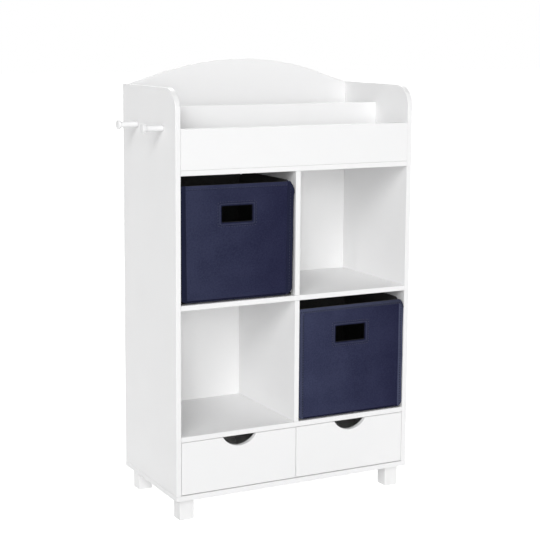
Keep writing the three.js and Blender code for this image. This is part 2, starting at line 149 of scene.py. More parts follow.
@dataclass
class Effect:
    """A shader node group that several finishes share: named inputs, named outputs, one body."""

    name: str
    inputs: dict[str, tuple[str, object]]
    outputs: dict[str, str]

    def start(self) -> tuple[Graph, dict, bpy.types.Node]:
        """Makes the empty group with its sockets.

        Returns:
            The graph to build in, the group's inputs by name, and its output node.
        """
        tree = bpy.data.node_groups.new(self.name, "ShaderNodeTree")
        for name, (kind, value) in self.inputs.items():
            socket = tree.interface.new_socket(name, in_out="INPUT", socket_type=kind)
            if value is not None:
                socket.default_value = value
        for name, kind in self.outputs.items():
            tree.interface.new_socket(name, in_out="OUTPUT", socket_type=kind)
        graph = Graph(tree)
        entry = graph.node("NodeGroupInput")
        return graph, {name: entry.outputs[name] for name in self.inputs}, graph.node("NodeGroupOutput")


FLOAT, VECTOR = "NodeSocketFloat", "NodeSocketVector"


def coating_effect() -> bpy.types.NodeTree:
    """Builds the relief of a sprayed or rolled satin coating.

    Its height is a fine orange peel with a little of a finer fleck. Broad smudges go out for
    the roughness and slow clouds for the tone.

    Returns:
        The node group.
    """
    plan = Effect(
        "sprayed_coating",
        {"Place": (VECTOR, None), "Peel": (FLOAT, 420.0)},
        {"Tone": FLOAT, "Smudge": FLOAT, "Height": FLOAT},
    )
    peel_share, fleck_share, fleck_scale = 0.8, 0.2, 3.1
    graph, given, out = plan.start()
    peel = graph.noise(given["Place"], given["Peel"], detail=3.0)
    fleck = graph.noise(given["Place"], graph.math("MULTIPLY", given["Peel"], fleck_scale), detail=1.0)
    peel, fleck = graph.math("MULTIPLY", peel, peel_share), graph.math("MULTIPLY", fleck, fleck_share)
    smudges = graph.noise(given["Place"], scale=14.0, detail=4.0)
    clouds = graph.noise(given["Place"], scale=4.0, detail=3.0)
    graph.feed(out.inputs["Height"], graph.math("ADD", peel, fleck))
    graph.feed(out.inputs["Smudge"], graph.span(smudges, 0.3, 0.7))
    graph.feed(out.inputs["Tone"], graph.span(clouds, 0.3, 0.7))
    return graph.tree


def edge_effect() -> bpy.types.NodeTree:
    """Builds a mask of the piece's edges, where a coating is thinner and handled more.

    The mask is how far the normal averaged over a small radius turns from the surface's own,
    broken up by noise, and the averaged normal goes out too, which softens facets.

    Returns:
        The node group.
    """
    plan = Effect(
        "edge_wear",
        {"Place": (VECTOR, None), "Radius": (FLOAT, 0.0015)},
        {"Mask": FLOAT, "Normal": VECTOR},
    )
    graph, given, out = plan.start()
    rounded = graph.node("ShaderNodeBevel", {"Radius": given["Radius"]}, samples=4)
    own = graph.node("ShaderNodeNewGeometry").outputs["Normal"]
    facing = graph.node("ShaderNodeVectorMath", {0: rounded.outputs[0], 1: own}, operation="DOT_PRODUCT")
    turned = graph.span(facing.outputs["Value"], 0.995, 0.85)
    patches = graph.noise(given["Place"], scale=90.0, detail=3.0)
    breakup = graph.span(patches, 0.35, 0.65, to_low=0.45)
    graph.feed(out.inputs["Mask"], graph.math("MULTIPLY", turned, breakup))
    graph.feed(out.inputs["Normal"], rounded.outputs[0])
    return graph.tree


def fibre_effect() -> bpy.types.NodeTree:
    """Builds matted fibres, as in pressed felt.

    A fibre is where a distorted noise passes through its middle value, so its lines wander and
    cross. Two such layers lie over each other, with a fine grain of tufts between them and a
    slow mottle that shows how unevenly felt mats.

    Returns:
        The node group.
    """
    plan = Effect(
        "matted_fibres",
        {"Place": (VECTOR, None), "Fibres": (FLOAT, 520.0)},
        {"Tone": FLOAT, "Mottle": FLOAT, "Height": FLOAT},
    )
    fibre_width, fibre_tone, grain_height = 0.09, 0.5, 0.5
    graph, given, out = plan.start()
    layers = []
    for offset, finer in ((0.0, 1.0), (7.3, 1.7)):
        feeds = {0: given["Place"], 1: (offset,) * 3}
        moved = graph.node("ShaderNodeVectorMath", feeds, operation="ADD").outputs[0]
        cloud = graph.noise(moved, graph.math("MULTIPLY", given["Fibres"], finer), distortion=1.2)
        middle = graph.math("ABSOLUTE", graph.math("SUBTRACT", cloud, 0.5))
        layers.append(graph.span(middle, 0.0, fibre_width, 1.0, 0.0))
    fibres = graph.math("MAXIMUM", *layers)
    mottle = graph.span(graph.noise(given["Place"], scale=15.0, detail=5.0), 0.34, 0.66)
    grain = graph.span(graph.noise(given["Place"], scale=290.0), 0.36, 0.64)
    tone = graph.math("ADD", mottle, graph.math("ADD", graph.math("MULTIPLY", fibres, fibre_tone), grain))
    relief = graph.math("ADD", fibres, graph.math("MULTIPLY", grain, grain_height))
    graph.feed(out.inputs["Mottle"], mottle)
    graph.feed(out.inputs["Height"], relief)
    graph.feed(out.inputs["Tone"], graph.span(tone, 0.4, 2.0))
    return graph.tree


def metal_effect() -> bpy.types.NodeTree:
    """Builds the fine unevenness of a plated or cast metal face.

    Returns:
        The node group.
    """
    plan = Effect(
        "metal_skin",
        {"Place": (VECTOR, None), "Grain": (FLOAT, 900.0)},
        {"Tone": FLOAT, "Height": FLOAT},
    )
    graph, given, out = plan.start()
    grain = graph.noise(given["Place"], given["Grain"], detail=3.0)
    stain = graph.noise(given["Place"], scale=260.0, detail=3.0, distortion=0.6)
    graph.feed(out.inputs["Height"], grain)
    graph.feed(out.inputs["Tone"], graph.span(graph.math("ADD", grain, stain), 0.7, 1.3))
    return graph.tree


EFFECTS = {
    "coating": coating_effect(),
    "edges": edge_effect(),
    "fibres": fibre_effect(),
    "metal": metal_effect(),
}


# Finishes


class Finishing:
    """A material under construction: its graph, its object coordinates and its main shader."""

    def __init__(self, name: str) -> None:
        """Starts a material.

        Args:
            name: the material's name.
        """
        self.material = bpy.data.materials.new(name)
        self.material.use_nodes = True
        self.graph = Graph(self.material.node_tree)
        self.shader = self.material.node_tree.nodes["Principled BSDF"]
        self.place = self.graph.node("ShaderNodeTexCoord").outputs["Object"]

    def effect(self, name: str, **values: float) -> dict[str, bpy.types.NodeSocket]:
        """Places a shared effect.

        Args:
            name: the effect's key.
            **values: its own values for this material.

        Returns:
            Its outputs by name.
        """
        made = self.graph.node("ShaderNodeGroup", node_tree=EFFECTS[name])
        self.graph.feed(made.inputs["Place"], self.place)
        for key, value in values.items():
            self.graph.feed(made.inputs[key], value)
        return {socket.name: socket for socket in made.outputs}

    def set(self, **values: Feed) -> None:
        """Fills the main shader's inputs, an underscore in a name standing for a space."""
        for key, value in values.items():
            self.graph.feed(self.shader.inputs[key.replace("_", " ")], value)


def rgba(colour: Colour) -> tuple[float, float, float, float]:
    """Returns a colour with its alpha of 1."""
    return (*colour, 1.0)


@dataclass(frozen=True)
class CoatedFinish:
    """White coating on board, wood or hardboard.

    Smudges add to its roughness, peel is its orange peel's features per metre, and wear is the
    share of the worn colour along its edges.
    """

    name: str
    colour: Colour
    shaded: Colour
    worn: Colour
    roughness: float
    smudge: float
    peel: float
    relief: float
    wear: float

    def build(self) -> bpy.types.Material:
        """Builds the material: slow tone, smudged gloss, orange peel and thinner edges.

        Returns:
            The material.
        """
        work = Finishing(self.name)
        coat = work.effect("coating", Peel=self.peel)
        edge = work.effect("edges")
        graph = work.graph
        tone = graph.blend(coat["Tone"], rgba(self.colour), rgba(self.shaded))
        worn = graph.math("MULTIPLY", edge["Mask"], self.wear)
        roughest = self.roughness + self.smudge
        work.set(
            Base_Color=graph.blend(worn, tone, rgba(self.worn)),
            Roughness=graph.span(coat["Smudge"], 0.0, 1.0, self.roughness, roughest),
            Normal=graph.bump(coat["Height"], self.relief, edge["Normal"]),
        )
        return work.material


class FeltUse(Enum):
    """What a felt piece is for, which decides its finish."""

    FACE = "face"
    RIM = "rim binding"
    CORNER = "corner binding"
    FOOT = "foot binding"
    WELT = "highlight welt"
    LINING = "lining"


@dataclass(frozen=True)
class FeltFinish:
    """Pressed felt, with a second pair of colours blended in by a point attribute as painted light and
    shade.

    Its fibres are given as features per metre.
    """

    name: str
    dark: Colour
    light: Colour
    painted_dark: Colour
    painted_light: Colour
    sheen: float = 0.04
    fibres: float = 520.0
    relief: float = 0.00012

    @classmethod
    def without_painted_shading(cls, name: str, dark: Colour, light: Colour, **rest: float) -> "FeltFinish":
        """Returns a finish whose second pair of colours is its first, so no light or shade is painted."""
        return cls(name, dark, light, dark, light, **rest)

    def build(self) -> bpy.types.Material:
        """Builds the material: fibres, mottle and painted light and shade in the colour, fibres in the
        relief.

        Returns:
            The material.
        """
        work = Finishing(self.name)
        felt = work.effect("fibres", Fibres=self.fibres)
        graph = work.graph
        # The point attribute blends in the second pair of colours, which is painted light and shade.
        painted_shading = graph.node("ShaderNodeAttribute", attribute_name=PAINTED_SHADING).outputs["Fac"]
        ground = graph.blend(felt["Tone"], rgba(self.dark), rgba(self.light))
        painted_tone = graph.blend(felt["Tone"], rgba(self.painted_dark), rgba(self.painted_light))
        work.set(
            Base_Color=graph.blend(painted_shading, ground, painted_tone),
            Roughness=graph.span(felt["Mottle"], 0.0, 1.0, 0.9, 1.0),
            Sheen_Weight=self.sheen,
            Sheen_Roughness=0.45,
            Sheen_Tint=rgba((0.62, 0.66, 0.9)),
            Specular_IOR_Level=0.1,
            Normal=graph.bump(felt["Height"], self.relief),
        )
        return work.material


@dataclass(frozen=True)
class ThreadFinish:
    """Polyester sewing thread, a little glossier than the felt round it."""

    name: str
    dark: Colour
    light: Colour
    ply: float = 2600.0
    relief: float = 0.00008

    def build(self) -> bpy.types.Material:
        """Builds the material, the thread's ply being a fine noise in tone, gloss and relief.

        Returns:
            The material.
        """
        work = Finishing(self.name)
        graph = work.graph
        ply = graph.noise(work.place, self.ply, detail=1.0)
        work.set(
            Base_Color=graph.blend(graph.span(ply, 0.35, 0.65), rgba(self.dark), rgba(self.light)),
            Roughness=graph.span(ply, 0.3, 0.7, 0.55, 0.75),
            Specular_IOR_Level=0.2,
            Normal=graph.bump(ply, self.relief),
        )
        return work.material


@dataclass(frozen=True)
class MetalFinish:
    """Plated steel or die-cast zinc."""

    name: str
    dark: Colour
    light: Colour
    roughness: float
    spread: float
    grain: float
    relief: float

    def build(self) -> bpy.types.Material:
        """Builds the material: stained tone, uneven gloss and a fine grain.

        Returns:
            The material.
        """
        work = Finishing(self.name)
        skin = work.effect("metal", Grain=self.grain)
        graph = work.graph
        dullest = self.roughness + self.spread
        work.set(
            Base_Color=graph.blend(skin["Tone"], rgba(self.dark), rgba(self.light)),
            Metallic=1.0,
            Roughness=graph.span(skin["Tone"], 0.0, 1.0, dullest, self.roughness),
            Normal=graph.bump(skin["Height"], self.relief),
        )
        return work.material


WHITE_BOARD = CoatedFinish(
    "white_board", (0.925, 0.925, 0.927), (0.911, 0.911, 0.913), (0.82, 0.815, 0.81),
    roughness=0.38, smudge=0.1, peel=420.0, relief=0.00003, wear=0.3,
)
PAINTED_WOOD = CoatedFinish(
    "white_painted_wood", (0.905, 0.905, 0.905), (0.887, 0.887, 0.886), (0.8, 0.79, 0.78),
    roughness=0.32, smudge=0.12, peel=260.0, relief=0.00006, wear=0.35,
)
# The pegs take a darker copy of the painted wood: painted shade for the shade on their caps' end faces,
# which darkens the whole peg.
SHADED_PEG_PAINT = CoatedFinish(
    "shaded_peg_paint", (0.862, 0.862, 0.866), (0.845, 0.845, 0.849), (0.79, 0.78, 0.77),
    roughness=0.36, smudge=0.12, peel=260.0, relief=0.00005, wear=0.2,
)
HARDBOARD = CoatedFinish(
    "white_hardboard", (0.925, 0.925, 0.925), (0.91, 0.91, 0.909), (0.7, 0.66, 0.6),
    roughness=0.5, smudge=0.08, peel=700.0, relief=0.00002, wear=0.3,
)
# Each felt's second pair of colours is painted light and shade. The face felt paints the front panel
# lighter at its left, fading out towards its right.
FACE_FELT = FeltFinish(
    "felt_face", (0.0120, 0.0130, 0.040), (0.0225, 0.0243, 0.060),
    (0.0226, 0.0258, 0.0595), (0.0367, 0.0418, 0.084),
)
# The lower bin's front is painted lighter still at its left.
LOWER_FACE_FELT = replace(
    FACE_FELT, name="felt_lower_face",
    painted_dark=(0.0278, 0.0319, 0.0731), painted_light=(0.0452, 0.0516, 0.1032),
)
# The rim and corner bindings come in lit and shaded copies: the upper bin's are painted darker and the
# lower bin's painted lighter, standing in for how light falls on each.
SHADED_RIM_FELT = FeltFinish(
    "felt_shaded_rim", (0.019, 0.0215, 0.052), (0.030, 0.034, 0.073),
    (0.025, 0.0285, 0.064), (0.038, 0.0435, 0.087),
)
LIT_RIM_FELT = FeltFinish(
    "felt_lit_rim", (0.032, 0.036, 0.065), (0.045, 0.050, 0.084),
    (0.045, 0.052, 0.096), (0.063, 0.071, 0.126),
)
LIT_BINDING_FELT = FeltFinish(
    "felt_lit_binding", (0.053, 0.060, 0.107), (0.073, 0.081, 0.137),
    (0.041, 0.047, 0.088), (0.056, 0.063, 0.112),
)
SHADED_BINDING_FELT = FeltFinish(
    "felt_shaded_binding", (0.0115, 0.0131, 0.0355), (0.0175, 0.0200, 0.046),
    (0.0078, 0.0094, 0.0277), (0.0122, 0.0144, 0.0359),
)
# A darker copy of the felt for the foot binding: painted shade along the foot, also used on the handle
# hole's lip.
SHADED_FOOT_FELT = FeltFinish.without_painted_shading("felt_shaded_foot_binding", (0.005, 0.0065, 0.020), (0.0085, 0.010, 0.029))
# The lining's second pair of colours is lighter: painted light near the bin's rim, fading to painted shade
# deeper in.
LINING_FELT = FeltFinish(
    "felt_lining", (0.015, 0.015, 0.0155), (0.023, 0.023, 0.0235),
    (0.058, 0.0562, 0.0568), (0.080, 0.0772, 0.0778), sheen=0.0, fibres=700.0,
)
PALE_THREAD = ThreadFinish("pale_thread", (0.040, 0.044, 0.078), (0.060, 0.066, 0.108))
# The lower bin's binding thread is dark: it is thread, and its dark dots also stand in for the shade in the
# needle holes.
DARK_THREAD = ThreadFinish("dark_thread", (0.005, 0.006, 0.017), (0.010, 0.012, 0.028))
CARD = FeltFinish.without_painted_shading(
    "dark_card", (0.0046, 0.0046, 0.0048), (0.0068, 0.0068, 0.007),
    sheen=0.0, fibres=600.0, relief=0.00005,
)
ZINC = MetalFinish(
    "zinc_alloy", (0.36, 0.365, 0.37), (0.46, 0.465, 0.47),
    roughness=0.42, spread=0.15, grain=700.0, relief=0.00003,
)
STEEL = MetalFinish(
    "plated_steel", (0.5, 0.49, 0.45), (0.62, 0.61, 0.57),
    roughness=0.26, spread=0.14, grain=1100.0, relief=0.000015,
)


# Surfaces


@dataclass
class Skin:
    """The points and faces of a piece before it becomes a mesh, and at each point its share of painted
    light and shade.
    """

    points: np.ndarray
    faces: list
    painted_shading: np.ndarray | None = None

    def joined(self, other: "Skin") -> "Skin":
        """Joins this skin and another.

        Args:
            other: the skin whose points and faces follow this one's.

        Returns:
            Both as one, with a share of painted light and shade only where both have one.
        """
        shift = len(self.points)
        moved = [tuple(index + shift for index in face) for face in other.faces]
        painted_shading = None
        if self.painted_shading is not None and other.painted_shading is not None:
            painted_shading = np.concatenate([self.painted_shading, other.painted_shading])
        return Skin(np.concatenate([self.points, other.points]), [*self.faces, *moved], painted_shading)


def lattice(rows: int, columns: int, wrap_rows: bool, wrap_columns: bool) -> np.ndarray:
    """Works out the quads of a grid of points, numbered row by row.

    Each quad runs along its row first and then to the next row, so its normal is the direction
    along the row crossed with the direction to the next row.

    Args:
        rows: how many rows of points there are.
        columns: how many points each row has.
        wrap_rows: whether the last row joins the first.
        wrap_columns: whether each row closes on itself.

    Returns:
        The quads as an array of shape (row steps, column steps, 4).
    """
    row = np.arange(rows if wrap_rows else rows - 1)[:, None]
    column = np.arange(columns if wrap_columns else columns - 1)[None, :]
    after, beside = (row + 1) % rows, (column + 1) % columns
    here, there = row * columns, after * columns
    corners = [here + column, here + beside, there + beside, there + column]
    return np.stack(np.broadcast_arrays(*corners), axis=-1)


def swept(grid: np.ndarray, closed: bool) -> Skin:
    """Closes a grid of points into a solid: each row is a closed section, carried along a path.

    Args:
        grid: points of shape (steps along the path, points round the section, 3), each section
            running anticlockwise to someone who looks back along the path.
        closed: whether the path closes on itself; otherwise both ends get a cap.

    Returns:
        The solid's skin.
    """
    steps, around = grid.shape[:2]
    faces = [tuple(quad) for quad in lattice(steps, around, closed, True).reshape(-1, 4).tolist()]
    if not closed:
        faces.append(tuple(range(around))[::-1])
        faces.append(tuple((steps - 1) * around + index for index in range(around)))
    return Skin(grid.reshape(-1, 3), faces)


def make_piece(name: str, skin: Skin, finish: bpy.types.Material, body: str) -> bpy.types.Object:
    """Turns a skin into a smooth mesh object that rides on a body.

    Args:
        name: the piece's name.
        skin: its points and faces.
        finish: its material.
        body: the CAD body that it moves with.

    Returns:
        The object.
    """
    mesh = bpy.data.meshes.new(name)
    mesh.from_pydata(skin.points.tolist(), [], skin.faces)
    mesh.polygons.foreach_set("use_smooth", np.ones(len(mesh.polygons), bool))
    if skin.painted_shading is not None:
        mesh.attributes.new(PAINTED_SHADING, "FLOAT", "POINT").data.foreach_set("value", skin.painted_shading.astype(np.float32))
    mesh.materials.append(finish)
    mesh.update()
    piece = bpy.data.objects.new(name, mesh)
    bpy.context.scene.collection.objects.link(piece)
    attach(piece, body)
    LOG.info("%s: %d faces on %s", name, len(skin.faces), body)
    return piece


def eased(share: np.ndarray) -> np.ndarray:
    """Returns a share clamped to 0..1 with a slow start and end: three squares less two cubes."""
    kept = np.clip(share, 0.0, 1.0)
    return kept * kept * (3.0 - 2.0 * kept)


# Felt bins


class Corner(Enum):
    """The four upright corners of a bin, in the order in which its wall runs past them."""

    FRONT_RIGHT = 0
    BACK_RIGHT = 1
    BACK_LEFT = 2
    FRONT_LEFT = 3

    @property
    def to_side(self) -> int:
        """Returns 1 where the way round leads from this corner onto a side panel, else -1."""
        return 1 if self in (Corner.FRONT_RIGHT, Corner.BACK_LEFT) else -1


@dataclass(frozen=True)
class CornerState:
    """How one upright corner stands: its rim's dip, its foot's lift and its binding's strip.

    The strip is what lies on the front or back panel. Where it is a narrow fold, no stitches
    show on it.
    """

    dip: float
    lift: float
    strip: float
    sewn: bool = True


@dataclass(frozen=True)
class Sag:
    """How a corner's dip or lift spreads, measured from where its arc starts."""

    before: float
    growth: float
    held: float
    fade: float

    def share(self, past: np.ndarray) -> np.ndarray:
        """Works out the share of the full depth.

        It grows with an eased step that starts a little before the arc, holds over the arc,
        and dies out along the side panel with a longer one.

        Args:
            past: the signed way from the start of the arc, positive towards the side panel.

        Returns:
            The share, from 0 to 1.
        """
        return eased((past + self.before) / self.growth) * (1.0 - eased((past - self.held) / self.fade))


@dataclass(frozen=True)
class Ripple:
    """The slow unevenness of felt: a standing wave and a weaker one that slants across it.

    Waves round the bin and up its wall are in radians per metre, phases in radians.
    """

    height: float = 0.00022
    around: float = 71.0
    around_phase: float = 1.3
    up: float = 57.0
    up_phase: float = 0.4
    slant_share: float = 0.6
    slant_around: float = 133.0
    slant_up: float = 39.0

    def at(self, way: np.ndarray, height: np.ndarray) -> np.ndarray:
        """Works out how far the felt stands out: the product of two sines, plus a share of a third.

        Args:
            way: the way round the bin.
            height: the height above its foot.

        Returns:
            The distance outwards.
        """
        standing = np.sin(way * self.around + self.around_phase) * np.sin(height * self.up + self.up_phase)
        slanting = np.sin(way * self.slant_around + height * self.slant_up)
        return self.height * (standing + self.slant_share * slanting)


@dataclass(frozen=True)
class Stance:
    """How one bin stands in its cubby: its corners, and how its rim and foot hold their shape.

    Its side shift is from the cubby's middle, and strips_over says whether the corner bindings
    run over the rim's binding or under it.
    """

    corners: dict[Corner, CornerState]
    side_shift: float
    rim_below_top: float
    rim_rise: float
    hem_lift: float
    foot_draw: float
    strips_over: bool


@dataclass
class BinForm:
    """The outer surface of a bin's wall, as a function of the way round and the height.

    The way round starts at the left end of the front panel and runs past the front right
    corner, so that seen from above it turns anticlockwise. Seen from above the wall is a
    rectangle with round corners. It narrows towards the foot, the front and back belly out a
    little, the sides have a crease in their middle, and the rim dips and the foot lifts at the
    corners, where no card stiffens it. Each ring of the bottom is given by how far it lies
    inside the wall and by its share of the foot's lift.
    """

    low: Vector
    high: Vector
    walls: tuple[float, float]
    stance: Stance
    press: float = 0.0006
    corner: float = 0.006
    rim_spread: float = 0.0009
    front_room: float = 0.0009
    belly: float = 0.0009
    crease: float = 0.0008
    crease_width: float = 0.0028
    dip: Sag = Sag(before=0.0055, growth=0.0130, held=0.010, fade=0.030)
    lift: Sag = Sag(before=0.006, growth=0.012, held=0.012, fade=0.022)
    ripple: Ripple = Ripple()
    bottom_rings: tuple[tuple[float, float], ...] = ((0.034, 0.0), (0.018, 0.25), (0.005, 0.6))

    def __post_init__(self) -> None:
        """Works out the lengths that everything else is placed by."""
        self.centre = (self.low + self.high) / 2
        self.height = self.high.z - self.low.z
        self.half = np.array([self.high.x - self.low.x, self.high.y - self.low.y]) / 2
        self.flats = 2 * np.array([self.half[0], self.half[1]] * 2) - 2 * self.corner
        self.arc = self.corner * math.pi / 2
        self.starts = np.concatenate([[0.0], np.cumsum(self.flats + self.arc)])
        self.around = float(self.starts[-1])
        self.front_middle = float(self.flats[0]) / 2

    def corner_place(self, corner: Corner) -> float:
        """Returns the way round to the middle of a corner's arc."""
        return float(self.starts[corner.value] + self.flats[corner.value] + self.arc / 2)

    def from_corner(self, way: np.ndarray, corner: Corner) -> np.ndarray:
        """Works out the signed way from a corner's middle, growing from front or back to the side.

        Args:
            way: the way round.
            corner: the corner to measure from.

        Returns:
            Negative on the front or back panel, positive on the side panel.
        """
        half = self.around / 2
        away = np.mod(way - self.corner_place(corner) + half, self.around) - half
        return corner.to_side * away

    def given(self, way: np.ndarray, depths: dict[Corner, float], sag: Sag) -> np.ndarray:
        """Works out how far the rim or foot gives way: each corner's depth times its share, added.

        Args:
            way: the way round.
            depths: the full depth at each corner.
            sag: how each depth spreads.

        Returns:
            The sum at each place.
        """
        total = np.zeros_like(way)
        for corner, depth in depths.items():
            total = total + depth * sag.share(self.from_corner(way, corner) + self.arc / 2)
        return total

    def rim(self, way: np.ndarray) -> np.ndarray:
        """Works out the rim's height above the bin's foot.

        It rises evenly along the front panel to its right end, falls back evenly along the
        rest, and dips at the corners.

        Args:
            way: the way round.

        Returns:
            The height at each place.
        """
        dips = {corner: state.dip for corner, state in self.stance.corners.items()}
        rise = self.stance.rim_rise * np.interp(way, [0.0, self.flats[0], self.around], [0.0, 1.0, 0.0])
        return self.height - self.stance.rim_below_top + rise - self.given(way, dips, self.dip)

    def foot(self, way: np.ndarray) -> np.ndarray:
        """Returns the hem's height above the shelf at each place on the way round."""
        lifts = {corner: state.lift for corner, state in self.stance.corners.items()}
        return self.stance.hem_lift + self.given(way, lifts, self.lift)

    def at(self, way: np.ndarray, height: np.ndarray, out: np.ndarray | float) -> np.ndarray:
        """Works out points on the wall, or at a distance from it.

        Each place on the way round falls on a panel's flat stretch or on the arc after it. A
        point is the middle of the bin, plus the panel's two half widths along its tangent and
        its outward normal, less the lean for its height, plus the belly, crease, ripple and
        the distance asked for along the outward direction.

        Args:
            way: the way round, in metres.
            height: the height above the bin's foot, of the same shape.
            out: how far outside the wall the point lies, negative for inside.

        Returns:
            The points, with one more axis for x, y and z.
        """
        way, height, out = np.broadcast_arrays(np.mod(way, self.around), height, np.asarray(out, float))
        panel = np.clip(np.searchsorted(self.starts, way, side="right") - 1, 0, 3)
        local = way - self.starts[panel]
        flat = self.flats[panel]
        share = np.clip(local / flat, 0.0, 1.0) * 2 - 1
        angle = np.clip((local - flat) / self.arc, 0.0, 1.0) * math.pi / 2
        tangent = np.array([[1, 0], [0, 1], [-1, 0], [0, -1]])[panel]
        normal = np.array([[0, -1], [1, 0], [0, 1], [-1, 0]])[panel]
        on_end = panel % 2 == 0

        level = height / self.height
        side_half = self.half[0] + self.rim_spread - (self.rim_spread + self.stance.foot_draw) * (1 - level)
        end_half = np.full_like(level, self.half[1] - self.front_room)
        half_along = np.where(on_end, side_half, end_half) - self.corner
        half_out = np.where(on_end, end_half, side_half)

        middle = (1 - share**2) * np.sin(np.clip(level, 0, 1) * math.pi)
        fold = np.exp(-((share * flat / 2 / self.crease_width) ** 2))
        swell = np.where(on_end, self.belly * middle, -self.crease * fold * (angle == 0))
        reach = out + swell + self.ripple.at(way, height)

        cosine, sine = np.cos(angle), np.sin(angle)
        on_arc = angle > 0
        along = np.where(on_arc, half_along + self.corner * sine, share * half_along) + reach * sine
        outward = np.where(on_arc, half_out - self.corner * (1 - cosine), half_out) + reach * cosine
        plan = tangent * along[..., None] + normal * outward[..., None]
        across = self.pressed(self.centre.x + self.stance.side_shift + plan[..., 0])
        return np.stack([across, self.centre.y + plan[..., 1], self.low.z + height], axis=-1)

    def pressed(self, across: np.ndarray) -> np.ndarray:
        """Presses felt flat where the boards beside the bin stop it.

        Up to a short way before a board each place stays. What would lie beyond keeps its
        order in the room that is left, which an exponential closes without ever filling.

        Args:
            across: places along X.

        Returns:
            The places, all between the two boards.
        """
        left, right = self.walls
        past_right = np.maximum(across - (right - self.press), 0.0)
        past_left = np.maximum(left + self.press - across, 0.0)
        held = np.where(past_right > 0, right - self.press * np.exp(-past_right / self.press), across)
        return np.where(past_left > 0, left + self.press * np.exp(-past_left / self.press), held)

    def bottom(self, way: np.ndarray, level: float, inside: float) -> np.ndarray:
        """Works out the rings of a bottom layer, from its flat middle out to the wall.

        Each ring is the wall's own ring drawn in towards the bin's middle, in proportion to
        the half widths, and let down by a share of the foot's lift.

        Args:
            way: the way round.
            level: the height of the flat middle above the bin's foot.
            inside: how far inside the form the wall's face lies.

        Returns:
            The points, of shape (rings, places, 3).
        """
        foot = self.foot(way)
        ring = self.at(way, level + foot, -inside)
        middle = np.array([self.centre.x + self.stance.side_shift, self.centre.y])
        rings = []
        for depth, lifted in self.bottom_rings:
            drawn = middle + (ring[:, :2] - middle) * (1 - depth / self.half)
            rings.append(np.column_stack([drawn, ring[:, 2] - (1 - lifted) * foot]))
        return np.stack(rings)


@dataclass(frozen=True)
class Stitching:
    """Thread sewn through the felt in equal stitches.

    Start is a share of the pitch, and rise, sink and taper are shares of the thread's radius.
    """

    length: float = 0.0038
    pitch: float = 0.0064
    radius: float = 0.00052
    start: float = 0.15
    rise: float = 1.3
    sink: float = 0.5
    taper: tuple[float, ...] = (0.55, 1.0, 1.1, 1.0, 0.55)
    sides: int = 6

    def row(self, form: BinForm, way: np.ndarray, height: np.ndarray, out: float) -> Skin:
        """Builds a row of stitches along a line on the wall.

        The line is measured, and stitches of equal length are laid along it at an equal pitch.
        Each is a short tapered thread that leaves the felt, rises in a half sine and dives back.

        Args:
            form: the wall.
            way: the line's places on the way round.
            height: its heights.
            out: how far the thread's line lies outside the wall.

        Returns:
            All the stitches of the line.
        """
        path = form.at(way, height, out)
        run = np.concatenate([[0.0], np.cumsum(np.linalg.norm(np.diff(path, axis=0), axis=1))])
        count, rings = int(run[-1] / self.pitch), len(self.taper)
        start = (np.arange(count) + self.start) * run[-1] / count
        share = np.linspace(0.0, 1.0, rings)
        places = start[:, None] + share * self.length
        ways, heights = np.interp(places, run, way), np.interp(places, run, height)
        rise = np.sin(share * math.pi) * self.radius * self.rise - self.radius * self.sink
        centre = form.at(ways, heights, out + rise)
        outward = form.at(ways, heights, out + rise + PROBE) - centre
        outward /= np.linalg.norm(outward, axis=-1, keepdims=True)
        forward = np.gradient(centre, axis=1)
        forward /= np.linalg.norm(forward, axis=-1, keepdims=True)
        side = np.cross(outward, forward)
        angle = np.arange(self.sides)[:, None] / self.sides * 2 * math.pi
        ring = side[:, :, None] * np.cos(angle) - outward[:, :, None] * np.sin(angle)
        points = centre[:, :, None] + ring * (self.radius * np.array(self.taper))[:, None, None]
        points[..., 0] = form.pressed(points[..., 0])
        shift = np.arange(count)[:, None, None] * rings * self.sides
        quads = lattice(rings, self.sides, False, True).reshape(-1, 4) + shift
        ends = np.arange(self.sides)
        caps = np.stack([ends[::-1], (rings - 1) * self.sides + ends]) + shift
        faces = [*quads.reshape(-1, 4).tolist(), *caps.reshape(-1, self.sides).tolist()]
        return Skin(points.reshape(-1, 3), [tuple(face) for face in faces])


@dataclass
class HandleHole:
    """The finger hole in a bin's front panel and the turned-in felt round it.

    Its shift is from the panel's middle. The lip, ridge and seam are placed by how far they lie
    outside the hole's edge, and heights are above the wall.
    """

    shift: float
    width: float
    height: float
    below_top: float
    corner: float = 0.0028
    corner_growth: float = 0.3
    cut_beyond: float = 0.001
    behind_lining: float = 0.0004
    lip: float = 0.0019
    lip_leg: float = 0.0014
    lip_height: float = 0.0005
    hollow_end: float = 0.0030
    hollow_height: float = 0.0003
    ridge_out: float = 0.0049
    ridge_height: float = 0.0008
    welt_base: float = 0.0006
    welt_inset: float = 0.0002
    seam_out: float = 0.0094

    def outline(self, grow: float, steps: int = 6, pitch: float = 0.004) -> np.ndarray:
        """Works out a rounded rectangle round the hole.

        Each corner is an arc whose radius grows less than the line moves out, so that the felt
        looks mitred there, and each straight stretch is divided evenly. Every line has the
        same number of points, whatever it grows by.

        Args:
            grow: how far outside the hole's edge the line runs.
            steps: the steps of each corner's arc.
            pitch: about how long the steps along the straight stretches are.

        Returns:
            Points of shape (n, 2): across and up from the hole's centre.
        """
        radius = self.corner + self.corner_growth * max(grow, 0.0)
        half = np.array([self.width, self.height]) / 2 + grow - radius
        corners = np.array([(1, -1), (1, 1), (-1, 1), (-1, -1)])
        rows = []
        for index, corner in enumerate(corners):
            angles = math.pi / 2 * (index - 1 + np.arange(steps + 1) / steps)
            ray = np.stack([np.cos(angles), np.sin(angles)], axis=1)
            following = half * corners[(index + 1) % 4] + ray[-1] * radius
            arc = ray * radius + half * corner
            count = round((self.width if index % 2 else self.height) / pitch)
            share = np.arange(1, count)[:, None] / count
            rows += [arc, arc[-1] + (following - arc[-1]) * share]
        return np.concatenate(rows)


